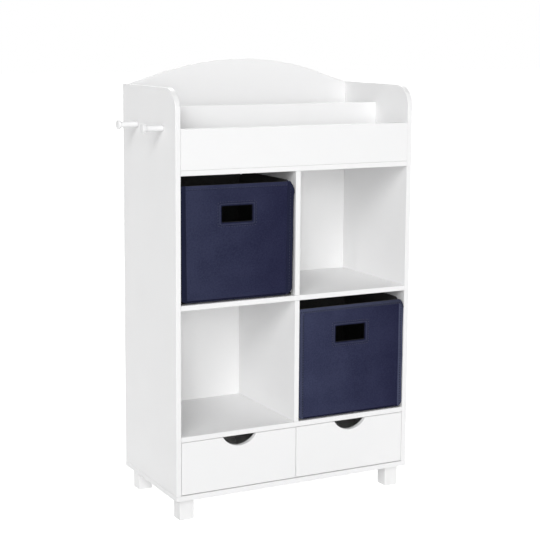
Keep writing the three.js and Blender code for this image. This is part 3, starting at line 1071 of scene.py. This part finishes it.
@dataclass
class FeltBin:
    """One folding felt bin: cover, lining, bindings, handle edge and stitches.

    Its bindings swell in their middle by a share, round off at their cut edges, and sink a
    little into the felt beneath. Rim_outside is how far down the rim's binding reaches, and
    steps are the distances between the points along a surface.
    """

    name: str
    beside: tuple[str, str]
    materials: dict[FeltUse, bpy.types.Material]
    binding_thread: bpy.types.Material
    handle_thread: bpy.types.Material
    stance: Stance
    handle: HandleHole
    cover_thickness: float = 0.002
    lining_inside: float = 0.0037
    lining_rise: float = 0.0010
    shade_depth: float = 0.045
    floor_height: float = 0.0036
    rim_thickness: float = 0.0009
    rim_over: float = 0.0017
    strip_thickness: float = 0.0009
    foot_thickness: float = 0.0006
    rim_outside: float = 0.0074
    rim_seam: float = 0.0058
    strip_on_side: float = 0.006
    strip_above_foot: float = 0.0006
    strip_clear: float = 1.3
    foot_binding: float = 0.0045
    swell: float = 1.2
    edge_round: float = 0.0004
    sunk: float = 0.0006
    toe: float = 0.0022
    seam_share: float = 0.35
    seam_above_foot: float = 0.008
    seam_below_rim: float = 0.002
    welt_radius: float = 0.0008
    stitching: Stitching = Stitching()
    wall_step: float = 0.0055
    rim_step: float = 0.003
    foot_step: float = 0.004
    climb_steps: int = 90

    def __post_init__(self) -> None:
        """Reads the cover's box and places the handle hole on the front panel."""
        low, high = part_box(f"{self.name}_cover")
        left, right = self.beside
        self.form = BinForm(low, high, (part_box(left)[1].x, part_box(right)[0].x), self.stance)
        self.handle_up = self.form.height - self.handle.below_top - self.handle.height / 2
        self.handle_way = self.form.front_middle + self.handle.shift

    def ways(self, step: float) -> np.ndarray:
        """Places points all round the wall: evenly on each flat stretch and on each arc.

        The front panel is also divided at the two ends of the handle hole.

        Args:
            step: about how far apart they lie on the flat stretches.

        Returns:
            The places on the way round.
        """
        form = self.form
        cut = self.handle.width / 2 + self.handle.cut_beyond
        parts = []
        for panel in range(4):
            marks = [0.0, form.flats[panel]]
            if panel == 0:
                marks[1:1] = [self.handle_way - cut, self.handle_way + cut]
            for begin, end in zip(marks, marks[1:]):
                count = max(2, round((end - begin) / step))
                parts.append(form.starts[panel] + begin + (end - begin) * np.arange(count) / count)
            arc = np.arange(BEND_STEPS) / BEND_STEPS * form.arc
            parts.append(form.starts[panel] + form.flats[panel] + arc)
        return np.concatenate(parts)

    def levels(self) -> np.ndarray:
        """Divides the wall's height evenly between the foot, the handle hole and the rim.

        The stretches next to the foot and the rim have finer steps.

        Returns:
            The shares of the wall's height at which the rows of its grid lie.
        """
        form, handle = self.form, self.handle
        half = handle.height / 2 + handle.cut_beyond
        foot, rim = float(form.foot(self.handle_way)), float(form.rim(self.handle_way))
        tall, middle = rim - foot, self.handle_up - foot
        foot_end, rim_start = 0.02, 0.97
        marks = [0.0, foot_end, (middle - half) / tall, (middle + half) / tall, rim_start, 1.0]
        steps = [4, 30, 6, 8, 4]
        parts = [low + (high - low) * np.arange(n) / n for low, high, n in zip(marks, marks[1:], steps)]
        return np.append(np.concatenate(parts), 1.0)

    def shell(self, outside: float, inside: float, base: float, floor: float, rim_drop: float) -> Skin:
        """Builds a closed layer of the bin: wall and bottom, with the handle hole through it.

        Rings of points run round the bin. They start under its bottom, climb the outside,
        turn over the rim in a half circle, go down the inside and end on the floor. Both
        flat middles are closed by one face each, and short walls line the hole.

        Args:
            outside: how far inside the form the layer's outer face lies.
            inside: how far inside the form its inner face lies.
            base: the height of its underside.
            floor: the height of its floor.
            rim_drop: how far below the form's rim it ends.

        Returns:
            The layer's skin, with the painted light and shade of its outer face.
        """
        form = self.form
        way, share = self.ways(self.wall_step), self.levels()
        foot, rim = form.foot(way), form.rim(way) - rim_drop
        bend = (inside - outside) / 2
        turn = np.linspace(0, math.pi, BEND_STEPS)[1:-1, None]
        rounding = self.toe * (1 - eased(share * form.height / self.toe))[:, None] ** 2
        rows = [
            form.bottom(way, base, outside),
            form.at(way, base + foot + share[:, None] * (rim - foot - base), -outside - rounding),
            form.at(way, rim + bend * np.sin(turn), -outside - bend * (1 - np.cos(turn))),
            form.at(way, (floor + foot + share[:, None] * (rim - foot - floor))[::-1], -inside),
            form.bottom(way, floor, inside)[::-1],
        ]
        grid = np.concatenate(rows)
        count = len(way)
        bottom, top, left, right = self.hole_cells(way, share)
        up, across = np.arange(bottom, top), np.arange(left, right)
        outer_first = len(rows[0])
        inner_last = outer_first + 2 * len(share) + len(turn) - 1
        quads = lattice(len(grid), count, False, True)
        keep = np.ones(quads.shape[:2], bool)
        for cells in (outer_first + up, inner_last - 1 - up):
            keep[np.ix_(cells, across)] = False

        # Once round the hole's edge, anticlockwise from its bottom left, on the near and far face.
        ring_rows = np.concatenate([
            np.full(len(across), bottom), up, np.full(len(across), top), up[::-1] + 1,
        ])
        ring_columns = np.concatenate([
            across, np.full(len(up), right), across[::-1] + 1, np.full(len(up), left),
        ])
        near = (outer_first + ring_rows) * count + ring_columns
        far = (inner_last - ring_rows) * count + ring_columns
        lined = np.column_stack([near, np.roll(near, -1), np.roll(far, -1), far])
        flat = np.arange(count)
        middles = [flat[::-1], (len(grid) - 1) * count + flat]
        faces = [tuple(face.tolist()) for face in (*quads[keep], *lined, *middles)]
        return Skin(grid.reshape(-1, 3), faces, np.tile(self.painted_shading(way), len(grid)))

    def hole_cells(self, way: np.ndarray, share: np.ndarray) -> tuple[int, int, int, int]:
        """Finds the handle hole in the wall's grid.

        Args:
            way: the way round at each column of points.
            share: the share of the wall's height at each row.

        Returns:
            The hole's bottom and top row, and its left and right column.
        """
        form, handle = self.form, self.handle
        half_up = handle.height / 2 + handle.cut_beyond
        half_across = handle.width / 2 + handle.cut_beyond
        foot, rim = float(form.foot(self.handle_way)), float(form.rim(self.handle_way))
        height = foot + share * (rim - foot)
        rows = [int(np.argmin(abs(height - (self.handle_up + side * half_up)))) for side in (-1, 1)]
        columns = [int(np.argmin(abs(way - (self.handle_way + side * half_across)))) for side in (-1, 1)]
        return rows[0], rows[1], columns[0], columns[1]

    def painted_shading(self, way: np.ndarray) -> np.ndarray:
        """Works out the share of painted light and shade: all of it at the front panel's left, none at its
        right.

        It rises again along the right side and stays whole along the back and left.

        Args:
            way: the way round.

        Returns:
            The share of the painted light-and-shade colours, from 0 to 1.
        """
        form = self.form
        places = [0.0, form.flats[0], form.starts[1] + form.flats[1], form.around]
        return np.interp(way, places, [1.0, 0.0, 1.0, 1.0])

    def band(self, way: np.ndarray, height: np.ndarray, out: np.ndarray, closed: bool) -> Skin:
        """Builds a raised band of binding from its closed section at each step along it.

        Each argument but the last has the shape (steps, section points) or spreads to it.

        Args:
            way: the way round at each point.
            height: the height at each point.
            out: the distance from the wall at each point.
            closed: whether the band closes on itself.

        Returns:
            The band's skin.
        """
        way, height, out = np.broadcast_arrays(way, height, out)
        skin = swept(self.form.at(way, height, out), closed)
        # The band's share of painted light and shade follows the way round the bin.
        skin.painted_shading = self.painted_shading(np.mod(way, self.form.around)).reshape(-1)
        return skin

    def rim_band(self) -> Skin:
        """Builds the binding over the rim.

        Its section goes up the outside, over the cover's edge in a half ellipse to the lining,
        and back beneath. Points are given by how far they lie below the rim and outside the wall.

        Returns:
            The binding's skin.
        """
        thick, wall, tall = self.rim_thickness, self.cover_thickness, self.rim_outside
        bend = (wall + thick) / 2
        turn = np.linspace(0, math.pi, BEND_STEPS + 2)
        outside = [
            (tall, 0.0), (tall - self.edge_round, thick),
            (0.6 * tall, self.swell * thick), (0.3 * tall, thick),
        ]
        over = np.column_stack([-self.rim_over * np.sin(turn), bend * np.cos(turn) + thick - bend])
        beneath = [(0.001, -wall), (0.0012, -wall / 2), (0.0012, -0.0009), (tall - 0.001, -self.sunk)]
        below, out = np.concatenate([outside, over, beneath]).T
        way = self.ways(self.rim_step)[:, None]
        return self.band(way, self.form.rim(way) - below, out, True)

    def foot_band(self) -> Skin:
        """Builds the narrow binding along the foot.

        Points of its section are given by how far they lie above the hem and outside the wall,
        from its underside up the outside and back down beneath.

        Returns:
            The binding's skin.
        """
        thick, tall = self.foot_thickness, self.foot_binding
        section = [
            (0.0008, -0.0012), (0.0016, 0.8 * thick), (0.0030, self.swell * thick), (tall - 0.0003, thick),
            (tall, 0.0), (0.003, -self.sunk), (0.001, -0.0018),
        ]
        above, out = np.array(section[::-1]).T
        way = self.ways(self.foot_step)[:, None]
        return self.band(way, self.form.foot(way) + above, out, True)

    def corner_path(self) -> tuple[np.ndarray, np.ndarray, np.ndarray]:
        """Works out the line that a corner's binding follows from the foot up.

        Under the rim's binding it climbs the wall and ends. Over it, it steps out a little
        further than that binding is thick, and then follows the same bend over the rim.

        Returns:
            The share of the way up to the rim at each step, the height above that, and the
            line's place and direction outwards: columns of out, and of the normal's out and up.
        """
        thick, bend = self.rim_thickness, (self.cover_thickness + self.rim_thickness) / 2
        end_share, step_length, last_turn = 0.6, 0.002, 0.8 * math.pi
        share = np.linspace(0.0, 1.0, self.climb_steps)
        none, full = np.zeros_like(share), np.ones_like(share)
        if not self.stance.strips_over:
            return share, -end_share * self.rim_outside * share, np.column_stack([none, full, none])
        turn = np.linspace(0.0, last_turn, BEND_STEPS + 1)[1:]
        below = (1.0 - share) * self.form.height
        step_out = self.strip_clear * thick * (1.0 - eased((below - self.rim_outside) / step_length))
        reach = bend * np.cos(turn) + thick - bend + (self.strip_clear - 1.0) * thick * np.cos(turn)
        climb = np.column_stack([step_out, full, none])
        over = np.column_stack([reach, np.cos(turn), np.sin(turn)])
        rise = np.concatenate([none, self.rim_over * np.sin(turn)])
        return np.append(share, np.ones_like(turn)), rise, np.concatenate([climb, over])

    def corner_band(self, corner: Corner) -> Skin:
        """Builds the binding that covers one upright corner from the foot to the rim.

        Its section runs from its edge on the front or back panel round the corner to its edge
        on the side panel, and back beneath.

        Args:
            corner: the corner that it covers.

        Returns:
            The binding's skin.
        """
        form, half_arc = self.form, self.form.arc / 2
        strip = self.stance.corners[corner].strip
        front, side = half_arc + strip, half_arc + self.strip_on_side
        across = np.concatenate([
            [-front, self.edge_round - front, -half_arc - strip / 2],
            np.linspace(-half_arc, half_arc, BEND_STEPS),
            [side - 0.002, side - self.edge_round, side],
        ])
        out = np.full(len(across), self.strip_thickness)
        out[[0, -1]] = 0.0
        across = np.concatenate([across, across[1:-1][::-1]])
        out = np.concatenate([out, np.full(len(out) - 2, -self.sunk)])
        way = form.corner_place(corner) + corner.to_side * across
        share, rise, line = self.corner_path()
        foot = form.foot(way) + self.strip_above_foot
        climb = foot + share[:, None] * (form.rim(way) - foot) + rise[:, None]
        height = climb + line[:, 2:] * out
        out = line[:, :1] + line[:, 1:2] * out
        if corner.to_side < 0:
            way, out, height = way[::-1], out[:, ::-1], height[:, ::-1]
        return self.band(way, height, out, False)

    def hole_ring(self, section: list[tuple[float, float]]) -> Skin:
        """Carries a closed section round the handle hole.

        Args:
            section: pairs of how far outside the hole's edge and how far outside the wall a
                point lies, in order from inside the bin outwards.

        Returns:
            The ring's skin.
        """
        beyond, out = np.array(section[::-1]).T
        rings = np.stack([self.handle.outline(grow) for grow in beyond], axis=1)
        return self.band(self.handle_way + rings[..., 0], self.handle_up + rings[..., 1], out, True)

    def handle_lip(self) -> Skin:
        """Builds the dark edge of the hole, which comes out from inside and rolls over.

        Returns:
            The lip's skin.
        """
        hole = self.handle
        lip, leg, top = hole.lip, hole.lip_leg, hole.lip_height
        back = -self.lining_inside - hole.behind_lining
        return self.hole_ring([
            (0.0, back), (0.0, -0.0008), (0.0002, 0.0001), (0.0009, top), (lip - 0.0003, top - 0.0001),
            (lip, 0.0), (lip, -0.0007), (leg, -0.0009), (leg, back),
        ])

    def handle_edge(self) -> Skin:
        """Builds the felt round the hole: a shallow hollow, a ridge, and down to the panel.

        Returns:
            The edge's skin.
        """
        hole = self.handle
        ridge, top, low, inner = hole.ridge_out, hole.ridge_height, hole.hollow_height, hole.lip - 0.0004
        return self.hole_ring([
            (inner, -low), (inner + 0.0002, low), (hole.hollow_end, low), (ridge - 0.0010, top - 0.0002),
            (ridge, top), (ridge + 0.0009, top - 0.0002), (ridge + 0.0018, 0.0), (ridge + 0.0010, -0.0005),
        ])

    def handle_welt(self) -> Skin:
        """Builds the thin raised welt along the ridge of the felt round the hole, in a paler felt that
        paints a highlight along the ridge.

        Its section is half of a slightly tall ellipse with its foot drawn in.

        Returns:
            The welt's skin.
        """
        base, inset, tallness = self.handle.welt_base, self.handle.welt_inset, 1.1
        turn = np.linspace(math.pi, 0.0, BEND_STEPS)
        beyond = self.handle.ridge_out + self.welt_radius * np.cos(turn)
        out = base + self.welt_radius * tallness * np.sin(turn)
        foot = [(beyond[-1] - inset, inset), (beyond[0] + inset, inset)]
        return self.hole_ring([*zip(beyond, out), *foot])

    def binding_seams(self) -> Skin:
        """Builds the rows of stitches that hold the bindings: along the rim and down each corner.

        Returns:
            All their stitches.
        """
        form, sew = self.form, self.stitching
        way = np.append(self.ways(self.rim_step), form.around)
        rim = form.rim(np.mod(way, form.around))
        made = sew.row(form, way, rim - self.rim_seam, self.rim_thickness)
        for corner, state in self.stance.corners.items():
            if not state.sewn:
                continue
            from_middle = form.arc / 2 + state.strip * self.seam_share
            place = form.corner_place(corner) - corner.to_side * from_middle
            top = float(form.rim(np.array([place]))[0]) - self.rim_outside - self.seam_below_rim
            climb = np.linspace(self.seam_above_foot, top, self.climb_steps)
            made = made.joined(sew.row(form, np.full_like(climb, place), climb, self.strip_thickness))
        return made

    def handle_seam(self) -> Skin:
        """Builds the row of stitches round the handle hole.

        Returns:
            All its stitches.
        """
        ring = self.handle.outline(self.handle.seam_out)
        ring = np.concatenate([ring, ring[:1]])
        way, height = self.handle_way + ring[:, 0], self.handle_up + ring[:, 1]
        return self.stitching.row(self.form, way, height, out=0.0001)

    def build(self) -> None:
        """Makes every piece of the bin and puts its felt cover in the plain one's place.

        The lining is a shell inside the cover with a hair's gap. Its lighter colours are painted light near
        the rim: full down to one depth below it, and gone at twice that depth, which leaves painted shade
        deeper in the bin.
        """
        gap, felts = 0.0001, self.materials
        cover = self.shell(0.0, self.cover_thickness, base=0.0002, floor=0.0018, rim_drop=0.0)
        lining = self.shell(
            self.cover_thickness + gap, self.lining_inside, base=self.cover_thickness - gap,
            floor=self.floor_height - gap, rim_drop=-self.lining_rise,
        )
        # The lining is painted lighter near the rim and darker deeper in, where shade falls.
        below_top = self.form.high.z - lining.points[:, 2]
        lining.painted_shading = eased(1.0 - (below_top - self.shade_depth) / self.shade_depth)
        corners = [(corner, f"{corner.name.lower()}_binding") for corner in Corner]
        parts = [
            ("felt_cover", cover, felts[FeltUse.FACE]),
            ("lining", lining, felts[FeltUse.LINING]),
            ("rim_binding", self.rim_band(), felts[FeltUse.RIM]),
            ("foot_binding", self.foot_band(), felts[FeltUse.FOOT]),
            *((label, self.corner_band(corner), felts[FeltUse.CORNER]) for corner, label in corners),
            # The lip takes the darkened foot felt, painted shade round the hole's edge.
            ("handle_lip", self.handle_lip(), felts[FeltUse.FOOT]),
            ("handle_edge", self.handle_edge(), felts[FeltUse.FACE]),
            # The welt's paler felt is a painted highlight along the ridge.
            ("handle_welt", self.handle_welt(), felts[FeltUse.WELT]),
            ("binding_stitches", self.binding_seams(), self.binding_thread),
            ("handle_stitches", self.handle_seam(), self.handle_thread),
        ]
        for label, skin, finish in parts:
            piece = make_piece(f"{self.name}_{label}", skin, finish, self.name)
            if label == "felt_cover":
                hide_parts(f"{self.name}_cover")


# Coat pegs


@dataclass
class CoatPeg:
    """A turned coat peg: a slim shaft, a flared neck and a thick round cap with soft edges."""

    node: str
    finish: bpy.types.Material
    root_radius: float = 0.0064
    shaft_radius: float = 0.0068
    neck_radius: float = 0.0076
    neck_length: float = 0.003
    flare_power: float = 2.2
    cap_thickness: float = 0.0085
    cap_round: float = 0.0018
    crown: float = 0.0005
    sides: int = 64
    shaft_points: int = 12
    neck_points: int = 9
    dome_points: int = 8

    def profile(self, length: float, cap_radius: float) -> np.ndarray:
        """Works out the peg's radius along its length.

        The shaft swells slowly from its root, the neck flares by a power of the way along it,
        and both edges of the cap are quarter circles under a slightly domed face.

        Args:
            length: from the panel to the cap's face.
            cap_radius: the cap's radius.

        Returns:
            Points of distance and radius, from the axis at the root to the axis at the face.
        """
        neck = length - self.cap_thickness
        shaft = np.linspace(0.0, neck - self.neck_length, self.shaft_points)
        swell = self.root_radius + (self.shaft_radius - self.root_radius) * eased(shaft / shaft[-1])
        flare = np.linspace(0.0, 1.0, self.neck_points)[1:]
        flared = self.shaft_radius + (self.neck_radius - self.shaft_radius) * flare**self.flare_power
        turn = np.linspace(0.0, math.pi / 2, BEND_STEPS)
        slow, fast = self.cap_round * (1 - np.cos(turn)), self.cap_round * (1 - np.sin(turn))
        reach = np.linspace(1.0, 0.0, self.dome_points)[1:-1]
        return np.concatenate([
            [[0.0, 0.0]],
            np.column_stack([shaft, swell]),
            np.column_stack([neck - self.neck_length * (1 - flare), flared]),
            np.column_stack([neck + slow, cap_radius - fast]),
            np.column_stack([length - self.crown - fast, cap_radius - slow]),
            np.column_stack([length - self.crown * reach**2, (cap_radius - self.cap_round) * reach]),
            [[length, 0.0]],
        ])

    def build(self) -> None:
        """Turns the profile about the peg's axis and puts it in the CAD peg's place."""
        low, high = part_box(self.node)
        profile = self.profile(high.x - low.x, (high.z - low.z) / 2)
        ring = profile[1:-1]
        angle = np.arange(self.sides) / self.sides * 2 * math.pi
        grid = np.stack(np.broadcast_arrays(
            high.x - ring[:, None, 0],
            (low.y + high.y) / 2 + ring[:, None, 1] * np.sin(angle),
            (low.z + high.z) / 2 + ring[:, None, 1] * np.cos(angle),
        ), axis=-1)
        skin = swept(grid, False)
        piece = make_piece(f"{self.node}_turned", skin, self.finish, "cabinet")
        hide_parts(self.node)


# Boards and fittings


@dataclass
class Dressing:
    """Gives each CAD node that stays in view the finish of its record slot."""

    finishes: dict[str, bpy.types.Material]

    def build(self) -> None:
        """Puts a finish on every node that nothing replaces."""
        for row in frame["record"]["subparts"]:
            node = frame["nodes"][row["node"]]
            if node.hide_render:
                continue
            node.data.materials.clear()
            node.data.materials.append(self.finishes[row["material_slot"]])
            LOG.info("%s: dressed in %s", row["node"], row["material_slot"])


# Studio


def direction(azimuth: float, elevation: float) -> Vector:
    """Works out the direction in which a viewer or a lamp stands.

    Args:
        azimuth: the angle in degrees from the cabinet's front, positive towards its right.
        elevation: the angle in degrees above the ground.

    Returns:
        The unit vector away from the cabinet.
    """
    turn, tilt = math.radians(azimuth), math.radians(elevation)
    return Vector((math.sin(turn) * math.cos(tilt), -math.cos(turn) * math.cos(tilt), math.sin(tilt)))


@dataclass
class Camera:
    """The photograph's viewpoint, fitted to the cabinet's edges in its 540 pixel square."""

    frame_pixels: float = 540.0
    focal_pixels: float = 1394.223
    horizon_pixel: float = 225.0
    azimuth: float = -27.7315
    elevation: float = 7.9231
    roll: float = 0.3647
    distance: float = 3.27121
    target: Vector = field(default_factory=lambda: Vector((0.032404, 0.0, 0.63091)))
    sensor: float = 36.0

    def build(self) -> None:
        """Places the camera and makes it the scene's."""
        data = bpy.data.cameras.new("photo_view")
        data.sensor_width = self.sensor
        data.lens = self.focal_pixels / self.frame_pixels * self.sensor
        data.shift_y = (self.horizon_pixel - self.frame_pixels / 2) / self.frame_pixels
        turn, roll = math.radians(self.azimuth), math.radians(self.roll)
        back = direction(self.azimuth, self.elevation)
        level = Vector((math.cos(turn), math.sin(turn), 0.0))
        upright = back.cross(level)
        right = level * math.cos(roll) + upright * math.sin(roll)
        up = upright * math.cos(roll) - level * math.sin(roll)
        camera = bpy.data.objects.new("photo_view", data)
        bpy.context.scene.collection.objects.link(camera)
        place = self.target + back * self.distance
        camera.matrix_world = Matrix((
            (right.x, up.x, back.x, place.x),
            (right.y, up.y, back.y, place.y),
            (right.z, up.z, back.z, place.z),
            (0.0, 0.0, 0.0, 1.0),
        ))
        bpy.context.scene.camera = camera


@dataclass
class Softbox:
    """A square area lamp aimed at the cabinet from a direction and a distance."""

    name: str
    azimuth: float
    elevation: float
    power: float
    distance: float = 16.0
    side: float = 6.4
    aim: tuple[float, float, float] = (0.0, 0.0, 0.5)

    def build(self) -> None:
        """Adds the lamp: its place is the aim plus the direction times the distance."""
        away = direction(self.azimuth, self.elevation)
        data = bpy.data.lights.new(self.name, "AREA")
        data.shape = "SQUARE"
        data.size = self.side
        data.energy = self.power
        lamp = bpy.data.objects.new(self.name, data)
        bpy.context.scene.collection.objects.link(lamp)
        lamp.location = Vector(self.aim) + away * self.distance
        lamp.rotation_euler = away.to_track_quat("Z", "Y").to_euler()


@dataclass
class Studio:
    """A white sweep with even ambient light and three softboxes."""

    ambient: float = 0.28
    floor_half: float = 30.0
    floor_colour: Colour = (0.9, 0.9, 0.9)
    floor_shown: Colour = (0.8, 0.8, 0.8)
    floor_glow: float = 0.86
    boxes: tuple[Softbox, ...] = (
        Softbox("front", -20.0, 8.5, 835.0),
        Softbox("side", -41.5, 28.0, 1030.0),
        Softbox("rear", 150.0, 35.0, 888.0),
    )

    def seen(self, graph: Graph) -> bpy.types.NodeSocket:
        """Tells what the camera sees directly, in a mirror or through glass from what only lights.

        Args:
            graph: the node tree that needs to know.

        Returns:
            A value of 1 for what is seen, else 0.
        """
        path = graph.node("ShaderNodeLightPath")
        direct = graph.math("MAXIMUM", path.outputs["Is Camera Ray"], path.outputs["Is Glossy Ray"])
        return graph.math("MAXIMUM", direct, path.outputs["Is Transmission Ray"])

    def build_world(self) -> None:
        """Gives the world its ambient light and a white that only shows."""
        world = bpy.data.worlds.new("studio")
        world.use_nodes = True
        graph = Graph(world.node_tree)
        colour = graph.blend(self.seen(graph), rgba((self.ambient,) * 3), rgba((1.0, 1.0, 1.0)))
        graph.feed(world.node_tree.nodes["Background"].inputs["Color"], colour)
        bpy.context.scene.world = world

    def build_floor(self) -> None:
        """Lays the floor, which shows white and keeps the cabinet's shadow.

        What the camera sees of it is a grey lit by the studio plus a glow of its own. The two
        add up to white in open light and fall short of it in the shadow.
        """
        half = self.floor_half
        mesh = bpy.data.meshes.new("floor")
        corners = [(-half, -half, 0), (half, -half, 0), (half, half, 0), (-half, half, 0)]
        mesh.from_pydata(corners, [], [(0, 1, 2, 3)])
        floor = bpy.data.objects.new("floor", mesh)
        bpy.context.scene.collection.objects.link(floor)
        material = bpy.data.materials.new("sweep")
        material.use_nodes = True
        tree = material.node_tree
        tree.nodes.remove(tree.nodes["Principled BSDF"])
        graph = Graph(tree)
        seen = self.seen(graph)
        colour = graph.blend(seen, rgba(self.floor_colour), rgba(self.floor_shown))
        matt = graph.node("ShaderNodeBsdfDiffuse", {"Color": colour}).outputs[0]
        strength = graph.math("MULTIPLY", seen, self.floor_glow)
        glow = graph.node("ShaderNodeEmission", {"Strength": strength}).outputs[0]
        surface = graph.node("ShaderNodeAddShader", {0: matt, 1: glow}).outputs[0]
        graph.feed(tree.nodes["Material Output"].inputs["Surface"], surface)
        mesh.materials.append(material)

    def build(self) -> None:
        """Builds the world, the floor and the lamps, and sets the view transform."""
        self.build_world()
        self.build_floor()
        for box in self.boxes:
            box.build()
        bpy.context.scene.view_settings.view_transform = "Standard"


def build_bins() -> None:
    """Builds both felt bins with the sag of their corners as they stand in their cubbies."""
    lit_rim, pale_thread = LIT_RIM_FELT.build(), PALE_THREAD.build()
    # The upper bin takes the shaded copies of the binding felts, the lower bin the lit ones.
    upper_felts = {
        FeltUse.FACE: FACE_FELT.build(),
        FeltUse.RIM: SHADED_RIM_FELT.build(),
        FeltUse.CORNER: SHADED_BINDING_FELT.build(),
        FeltUse.FOOT: SHADED_FOOT_FELT.build(),
        # The welt takes the lit rim felt as a painted highlight.
        FeltUse.WELT: lit_rim,
        FeltUse.LINING: LINING_FELT.build(),
    }
    lower_felts = {
        **upper_felts,
        FeltUse.FACE: LOWER_FACE_FELT.build(),
        FeltUse.RIM: lit_rim,
        FeltUse.CORNER: LIT_BINDING_FELT.build(),
    }
    upper_corners = {
        Corner.FRONT_RIGHT: CornerState(dip=0.020, lift=0.012, strip=0.012),
        Corner.BACK_RIGHT: CornerState(dip=0.012, lift=0.008, strip=0.010),
        Corner.BACK_LEFT: CornerState(dip=0.010, lift=0.008, strip=0.008),
        Corner.FRONT_LEFT: CornerState(dip=0.001, lift=0.003, strip=0.0060, sewn=False),
    }
    lower_corners = {
        Corner.FRONT_RIGHT: CornerState(dip=0.0155, lift=0.0085, strip=0.008),
        Corner.BACK_RIGHT: CornerState(dip=0.010, lift=0.008, strip=0.008),
        Corner.BACK_LEFT: CornerState(dip=0.012, lift=0.009, strip=0.008),
        Corner.FRONT_LEFT: CornerState(dip=0.001, lift=0.003, strip=0.0034),
    }
    upper = Stance(
        upper_corners, side_shift=-0.0009, rim_below_top=0.0017, rim_rise=0.0, hem_lift=0.0039,
        foot_draw=0.0022, strips_over=True,
    )
    lower = Stance(
        lower_corners, side_shift=0.0009, rim_below_top=0.0012, rim_rise=0.0013, hem_lift=0.0022,
        foot_draw=-0.0004, strips_over=False,
    )
    upper_handle = HandleHole(shift=-0.0032, width=0.0755, height=0.0360, below_top=0.0475)
    lower_handle = HandleHole(shift=-0.0070, width=0.078, height=0.0377, below_top=0.04675)
    FeltBin(
        "upper_bin", ("left_side_panel", "upper_divider"), upper_felts, pale_thread, pale_thread,
        upper, upper_handle,
    ).build()
    FeltBin(
        "lower_bin", ("lower_divider", "right_side_panel"), lower_felts, DARK_THREAD.build(), pale_thread,
        lower, lower_handle, rim_outside=0.0088,
        stitching=Stitching(length=0.0030, pitch=0.0056, radius=0.0011),
    ).build()


def main() -> None:
    """Builds the studio, the soft and turned pieces, and dresses what stays."""
    logging.basicConfig(level=logging.INFO, format="%(name)s: %(message)s")
    Camera().build()
    Studio().build()
    build_bins()
    shaded_peg_paint = SHADED_PEG_PAINT.build()
    for node in ("front_peg", "back_peg"):
        CoatPeg(node, shaded_peg_paint).build()
    Dressing({
        "white_board": WHITE_BOARD.build(),
        "white_painted_wood": PAINTED_WOOD.build(),
        "white_hardboard": HARDBOARD.build(),
        "dark_card": CARD.build(),
        "zinc_alloy": ZINC.build(),
        "plated_steel": STEEL.build(),
    }).build()


if __name__ == "__main__":
    main()
